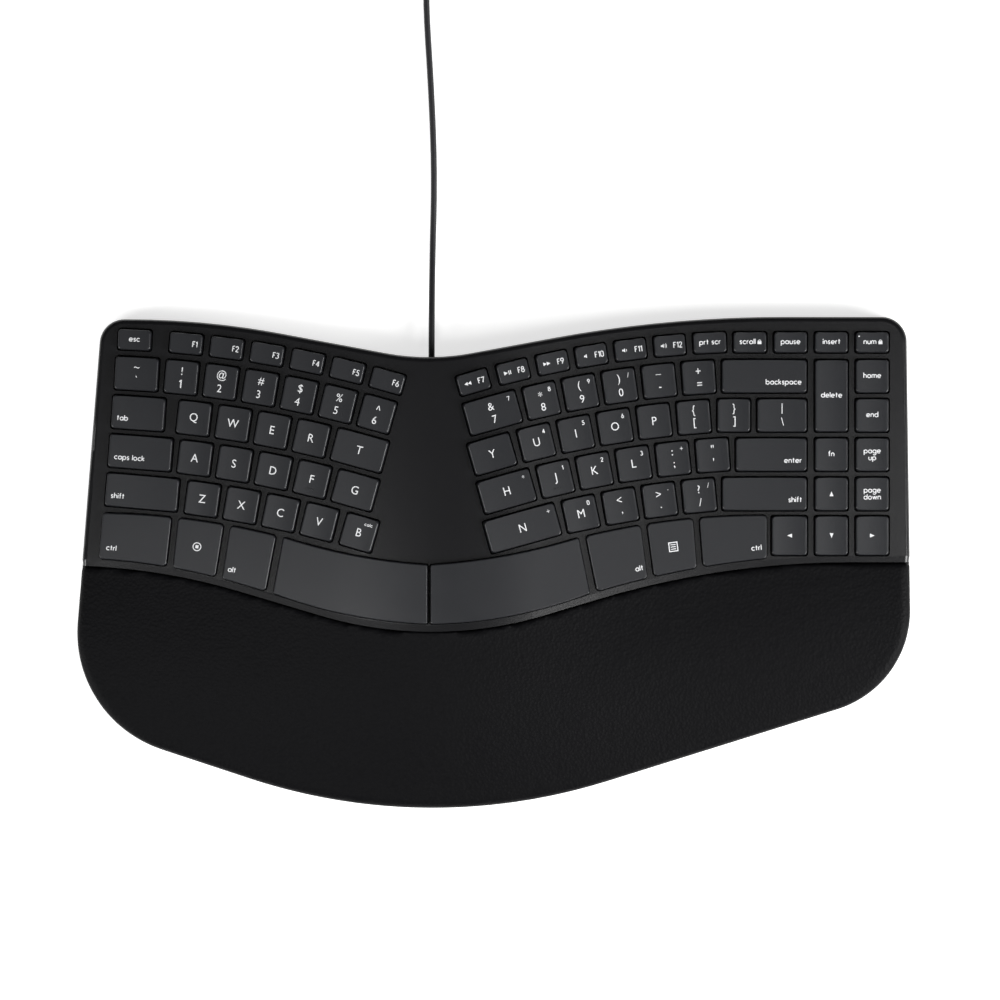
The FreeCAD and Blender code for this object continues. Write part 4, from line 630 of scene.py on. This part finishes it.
print_on("keys_system", [
    [("prt scr", 0, BASE, WORD, "word")],
    [("scroll", -1.1, BASE, WORD, "word"), ("lock", 4.6, 0.2, 0, "centre")],
    [("pause", 0, BASE, WORD, "word")],
    [("insert", 0, BASE, WORD, "word")],
    [("num", -1.1, BASE, WORD, "word"), ("lock", 3.9, 0.2, 0, "centre"), ("light", -6.3, 2.9, 0, "centre")],
])
numbers = [[("~", 0, 3.0, FIGURE, "centre"), ("`", 0, -1.4, FIGURE, "centre")]]
for shift, figure in ("!1", "@2", "#3", "$4", "%5", "^6"):
    size, hold = (FIGURE_ONE, "figure") if figure == "1" else (FIGURE, "centre")
    numbers.append([(shift, 0.2, 3.0, FIGURE, "centre"), (figure, -0.1, -3.2, size, hold)])
print_on("keys_number_left", numbers)
print_on("keys_number_right", [
    [("&", -0.2, 3.0, FIGURE, "centre"), ("7", 0.1, -3.2, FIGURE, "centre"),
     ("7", 9.0, 4.6, PAD_FIGURE, "figure")],
    [("*", -0.2, 3.0, FIGURE, "centre"), ("8", 0.1, -3.2, FIGURE, "centre"),
     ("8", 4.6, 4.6, PAD_FIGURE, "figure")],
    [("(", -0.2, 3.0, FIGURE, "centre"), ("9", 0.1, -3.2, FIGURE, "centre"),
     ("9", 4.6, 4.6, PAD_FIGURE, "figure")],
    [(")", -0.2, 3.0, FIGURE, "centre"), ("0", 0.1, -3.2, FIGURE, "centre"),
     ("/", 4.5, 4.6, SMALL, "centre")],
    [("_", -0.2, 3.0, FIGURE, "centre"), ("-", 0.1, -3.2, FIGURE, "centre")],
    [("+", -0.2, 3.0, FIGURE, "centre"), ("=", 0.1, -3.2, FIGURE, "centre")],
])
print_on("keys_punctuation", [
    [("<", -0.2, 3.0, FIGURE, "centre"), (",", 0.3, -3.4, FIGURE, "centre")],
    [(">", -0.4, 2.8, FIGURE, "centre"), (".", 0.2, -3.6, FIGURE, "centre"),
     (".", 4.4, 4.4, SMALL, "centre")],
    [(":", -0.2, 2.8, FIGURE, "centre"), (";", 0.2, -3.2, FIGURE, "centre"),
     ("+", 4.4, 4.4, SMALL, "centre")],
    [("{", 0, 3.0, FIGURE, "centre"), ("[", 0.2, -3.0, FIGURE, "centre")],
    [("?", 0, 3.0, FIGURE, "centre"), ("/", 0.2, -3.2, FIGURE, "centre"), ("/", 4.6, 4.6, SMALL, "centre")],
    [("\"", 0, 4.1, FIGURE, "centre"), ("'", 0.2, -2.2, FIGURE, "centre")],
    [("}", 0, 3.0, FIGURE, "centre"), ("]", 0.2, -3.0, FIGURE, "centre")],
    [("|", 0, 3.2, FIGURE, "centre"), ("\\", 0.2, -3.0, FIGURE, "centre")],
])
print_on("keys_navigation", [
    [("delete", 0, BASE, WORD, "word")],
    [("fn", 0, BASE, WORD, "word")],
    [("home", 0, BASE, WORD, "word")],
    [("end", 0, BASE, WORD, "word")],
    [("page", 0, 0.7, WORD, "word"), ("up", 0, -2.6, WORD, "word")],
    [("page", 0, 0.7, WORD, "word"), ("down", 0, -2.6, WORD, "word")],
])
print_on("keys_arrow", [[(way, 0, 0, 0, "centre")] for way in ("left", "up", "down", "right")])
print_on("keys_side_left", [[(word, 2.4, -3.9, WORD, "left")] for word in ("tab", "caps lock", "shift")],
         down=True)
print_on("keys_side_right",
         [[(word, 2.1, -3.9, WORD, "right")] for word in ("backspace", "enter", "shift")], down=True)
print_on("keys_modifier_left", [
    [("ctrl", 2.9, -7.0, WORD, "left")],
    [("ring", 0, 0, 0, "centre")],
    [("alt", 2.4, -8.0, WORD, "left")],
])
print_on("keys_modifier_right", [
    [("alt", 2.4, -8.0, WORD, "right")],
    [("menu", 0, 0, 0, "centre")],
    [("ctrl", 3.2, -6.0, WORD, "right")],
])


# Palm rest: foam under a thin imitation leather that is drawn round the edge of its tray and glued
# below. It swells softly from front to back, and its grain is a fine, even pebble.
def palm_copy(name, mesh_width):
    """A closed copy of the palm rest with an even mesh."""
    bpy.ops.object.select_all(action="DESELECT")
    piece = nodes["palm_rest_pad"].copy()
    piece.data = nodes["palm_rest_pad"].data.copy()
    piece.name = name
    piece.parent = None
    for key in list(piece.keys()):      # what marks it as a CAD node
        del piece[key]
    bpy.context.scene.collection.objects.link(piece)
    piece.select_set(True)
    bpy.context.view_layer.objects.active = piece
    bpy.ops.object.mode_set(mode="EDIT")
    bpy.ops.mesh.select_all(action="SELECT")
    bpy.ops.mesh.remove_doubles(threshold=SAME)
    bpy.ops.object.mode_set(mode="OBJECT")
    remesh = piece.modifiers.new("weave", "REMESH")
    remesh.mode = "VOXEL"
    remesh.voxel_size = mesh_width
    bpy.ops.object.modifier_apply(modifier=remesh.name)
    return piece


SKIN_MESH = 0.0016      # width of the skin's mesh
pad = palm_copy("palm_rest_cushion", SKIN_MESH)
for face in pad.data.polygons:
    face.use_smooth = True

# The foam starts a little thinner, is glued at its rim and its underside, and swells under pressure.
# The stretched skin evens out its small folds, and follows it.
FOAM_MESH = 0.004       # width of the foam's mesh, which is coarser
FREE = 0.5              # the foam is free where its normals point up at least this much
THINNER = 0.0007        # how far it starts inside the skin
PRESSURE = 4.0
FRAMES = 20             # length of the simulation
SWELL = 0.0015          # the most that a point of the foam may rise
ROUNDS = 24             # how often each move is evened out over its neighbours
foam = palm_copy("foam", FOAM_MESH)
triangles = foam.modifiers.new("triangles", "TRIANGULATE")
bpy.ops.object.modifier_apply(modifier=triangles.name)
follow = pad.modifiers.new("follow", "SURFACE_DEFORM")
follow.target = foam
bpy.context.view_layer.objects.active = pad
bpy.ops.object.surfacedeform_bind(modifier=follow.name)
glued = foam.vertex_groups.new(name="glued")
free = [v.normal.z >= FREE for v in foam.data.vertices]
glued.add([v.index for v in foam.data.vertices if not free[v.index]], 1.0, "REPLACE")
cut = [v.co.copy() for v in foam.data.vertices]
for vertex, normal in [(v, v.normal.copy()) for v in foam.data.vertices if free[v.index]]:
    vertex.co -= THINNER * normal
start = [v.co.copy() for v in foam.data.vertices]
cloth = foam.modifiers.new("swell", "CLOTH")
cloth.settings.use_pressure = True
cloth.settings.uniform_pressure_force = PRESSURE
cloth.settings.effector_weights.gravity = 0.0
cloth.settings.vertex_group_mass = "glued"
for number in range(1, FRAMES + 1):
    bpy.context.scene.frame_set(number)
bpy.context.view_layer.objects.active = foam
bpy.ops.object.modifier_apply(modifier=cloth.name)
for vertex, before in zip(foam.data.vertices, start):
    move = vertex.co - before
    if move.length > SWELL:
        vertex.co = before + move * (SWELL / move.length)
bpy.context.scene.frame_set(1)
moves = [v.co - before for v, before in zip(foam.data.vertices, cut)]
beside = [[] for move in moves]
for edge in foam.data.edges:
    beside[edge.vertices[0]].append(edge.vertices[1])
    beside[edge.vertices[1]].append(edge.vertices[0])
for number in range(ROUNDS):
    moves = [sum((moves[n] for n in near), Vector()) / len(near) if loose else move
             for move, near, loose in zip(moves, beside, free)]
for vertex, before, move in zip(foam.data.vertices, cut, moves):
    vertex.co = before + move
bpy.context.view_layer.objects.active = pad
bpy.ops.object.modifier_apply(modifier=follow.name)
bpy.data.objects.remove(foam)

# Imitation leather: vinyl embossed with pebbles, which scatter its faint shine. They are drawn at
# 1.4 mm, coarser than they are, so that they show.
leather = bpy.data.materials.new("imitation leather, pebbled, black")
leather.use_nodes = True
tree = leather.node_tree
surface = tree.nodes["Principled BSDF"]
place = add(tree, "ShaderNodeTexCoord")
pebble = add(tree, "ShaderNodeTexVoronoi", {"Scale": 700.0}, {"Vector": place.outputs["Object"]},
             feature="F1")
crease = add(tree, "ShaderNodeTexNoise", {"Scale": 380.0, "Detail": 4.0},
             {"Vector": place.outputs["Object"]})
relief = add(tree, "ShaderNodeMath", links={0: pebble.outputs["Distance"], 1: crease.outputs["Fac"]},
             operation="ADD")
tint = add(tree, "ShaderNodeMix", {6: linear("#0A0A0C"), 7: linear("#050507")},
           {0: pebble.outputs["Distance"]}, data_type="RGBA")
tree.links.new(tint.outputs[2], surface.inputs["Base Color"])
bump = add(tree, "ShaderNodeBump", {"Strength": 0.45, "Distance": 0.0003}, {"Height": relief.outputs[0]})
tree.links.new(bump.outputs["Normal"], surface.inputs["Normal"])
surface.inputs["Roughness"].default_value = 0.55
surface.inputs["Specular IOR Level"].default_value = 0.1
pad.data.materials.clear()
pad.data.materials.append(leather)
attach(pad, node_body["palm_rest_pad"])
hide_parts("palm_rest_pad")


# Lower case, tray, tilt feet and guide plate: plain ABS mouldings with a coarser texture than the upper
# case, drawn at 0.9 mm. It leaves them a dull black.
base_abs = bpy.data.materials.new("ABS, moulded, coarse texture, black")
base_abs.use_nodes = True
tree = base_abs.node_tree
surface = tree.nodes["Principled BSDF"]
place = add(tree, "ShaderNodeTexCoord")
grain = add(tree, "ShaderNodeTexNoise", {"Scale": 1100.0, "Detail": 3.0},
            {"Vector": place.outputs["Object"]})
tint = add(tree, "ShaderNodeMix", {6: linear("#151517"), 7: linear("#212123")},
           {0: grain.outputs["Fac"]}, data_type="RGBA")
tree.links.new(tint.outputs[2], surface.inputs["Base Color"])
bump = add(tree, "ShaderNodeBump", {"Strength": 0.4, "Distance": 0.00015}, {"Height": grain.outputs["Fac"]})
tree.links.new(bump.outputs["Normal"], surface.inputs["Normal"])
surface.inputs["Roughness"].default_value = 0.6
for node in ("bottom_case", "palm_rest_tray", "tilt_foot_left", "tilt_foot_right", "key_guide_plate"):
    finish(node, base_abs)


# Rubber feet: die-cut from sheet rubber and glued into shallow pockets in the lower case. They are the
# dullest pieces, and a little dust keeps them from plain black.
rubber = bpy.data.materials.new("sheet rubber, matt black")
rubber.use_nodes = True
tree = rubber.node_tree
surface = tree.nodes["Principled BSDF"]
place = add(tree, "ShaderNodeTexCoord")
dust = add(tree, "ShaderNodeTexNoise", {"Scale": 700.0, "Detail": 5.0}, {"Vector": place.outputs["Object"]})
tint = add(tree, "ShaderNodeMix", {6: linear("#0E0E0F"), 7: linear("#1C1C1D")}, {0: dust.outputs["Fac"]},
           data_type="RGBA")
tree.links.new(tint.outputs[2], surface.inputs["Base Color"])
surface.inputs["Roughness"].default_value = 0.9
finish("rubber_feet", rubber)


# Screws and the backing sheet: zinc-plated steel. It is bright, with cloudy patches about 3 mm wide
# that are a little duller.
zinc = bpy.data.materials.new("steel, zinc-plated")
zinc.use_nodes = True
tree = zinc.node_tree
surface = tree.nodes["Principled BSDF"]
place = add(tree, "ShaderNodeTexCoord")
spangle = add(tree, "ShaderNodeTexNoise", {"Scale": 350.0, "Detail": 3.0},
              {"Vector": place.outputs["Object"]})
tint = add(tree, "ShaderNodeMix", {6: linear("#A9ACAF"), 7: linear("#C7CACC")},
           {0: spangle.outputs["Fac"]}, data_type="RGBA")
tree.links.new(tint.outputs[2], surface.inputs["Base Color"])
worn = add(tree, "ShaderNodeMapRange", {"To Min": 0.28, "To Max": 0.42}, {"Value": spangle.outputs["Fac"]})
tree.links.new(worn.outputs[0], surface.inputs["Roughness"])
surface.inputs["Metallic"].default_value = 1.0
for node in ("case_screws", "backing_plate"):
    finish(node, zinc)


# Dome sheet: one moulding of milky silicone rubber with a dome under every plunger. It looks soft and
# a little cloudy.
silicone = bpy.data.materials.new("silicone rubber, milky")
silicone.use_nodes = True
tree = silicone.node_tree
surface = tree.nodes["Principled BSDF"]
place = add(tree, "ShaderNodeTexCoord")
haze = add(tree, "ShaderNodeTexNoise", {"Scale": 120.0, "Detail": 3.0}, {"Vector": place.outputs["Object"]})
tint = add(tree, "ShaderNodeMix", {6: linear("#B9BCBA"), 7: linear("#D3D5D2")}, {0: haze.outputs["Fac"]},
           data_type="RGBA")
tree.links.new(tint.outputs[2], surface.inputs["Base Color"])
surface.inputs["Roughness"].default_value = 0.5
surface.inputs["IOR"].default_value = 1.41
finish("dome_sheet", silicone)


# Contact film: polyester with a thin shine, drawn grey-green as it looks over the backing sheet. The
# lines of paler silver ink on it are about 3 mm apart.
INK_FROM = 0.72         # the part of each wave from which on it is ink
film = bpy.data.materials.new("polyester film with silver ink")
film.use_nodes = True
tree = film.node_tree
surface = tree.nodes["Principled BSDF"]
place = add(tree, "ShaderNodeTexCoord")
tracks = add(tree, "ShaderNodeTexWave", {"Scale": 110.0, "Distortion": 2.0, "Detail": 1.0},
             {"Vector": place.outputs["Object"]}, bands_direction="X")
edge = add(tree, "ShaderNodeMath", {1: INK_FROM}, {0: tracks.outputs["Fac"]}, operation="GREATER_THAN")
tint = add(tree, "ShaderNodeMix", {6: linear("#8F9A94"), 7: linear("#C9CBCB")}, {0: edge.outputs[0]},
           data_type="RGBA")
tree.links.new(tint.outputs[2], surface.inputs["Base Color"])
surface.inputs["Roughness"].default_value = 0.25
surface.inputs["IOR"].default_value = 1.57
finish("membrane", film)


# Controller: a green glass-fibre board. What stands on it is black: the chips, the cord's socket and
# the cord's inner lead.
THICK = 0.00162         # just over the board's thickness: what stands higher is a part on it
low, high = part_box("controller_board")
board = bpy.data.materials.new("glass-fibre board, green, with black parts")
board.use_nodes = True
tree = board.node_tree
surface = tree.nodes["Principled BSDF"]
place = add(tree, "ShaderNodeTexCoord")
parts = add(tree, "ShaderNodeSeparateXYZ", links={0: place.outputs["Object"]})
raised = add(tree, "ShaderNodeMath", {1: low.z + THICK}, {0: parts.outputs["Z"]}, operation="GREATER_THAN")
tracks = add(tree, "ShaderNodeTexBrick",
             {"Scale": 260.0, "Mortar Size": 0.06, "Color1": linear("#1B4A2B"), "Color2": linear("#174125"),
              "Mortar": linear("#2E6B41")},
             {"Vector": place.outputs["Object"]})
tint = add(tree, "ShaderNodeMix", {7: linear("#151516")},
           {0: raised.outputs[0], 6: tracks.outputs["Color"]}, data_type="RGBA")
tree.links.new(tint.outputs[2], surface.inputs["Base Color"])
surface.inputs["Roughness"].default_value = 0.4
finish("controller_board", board)
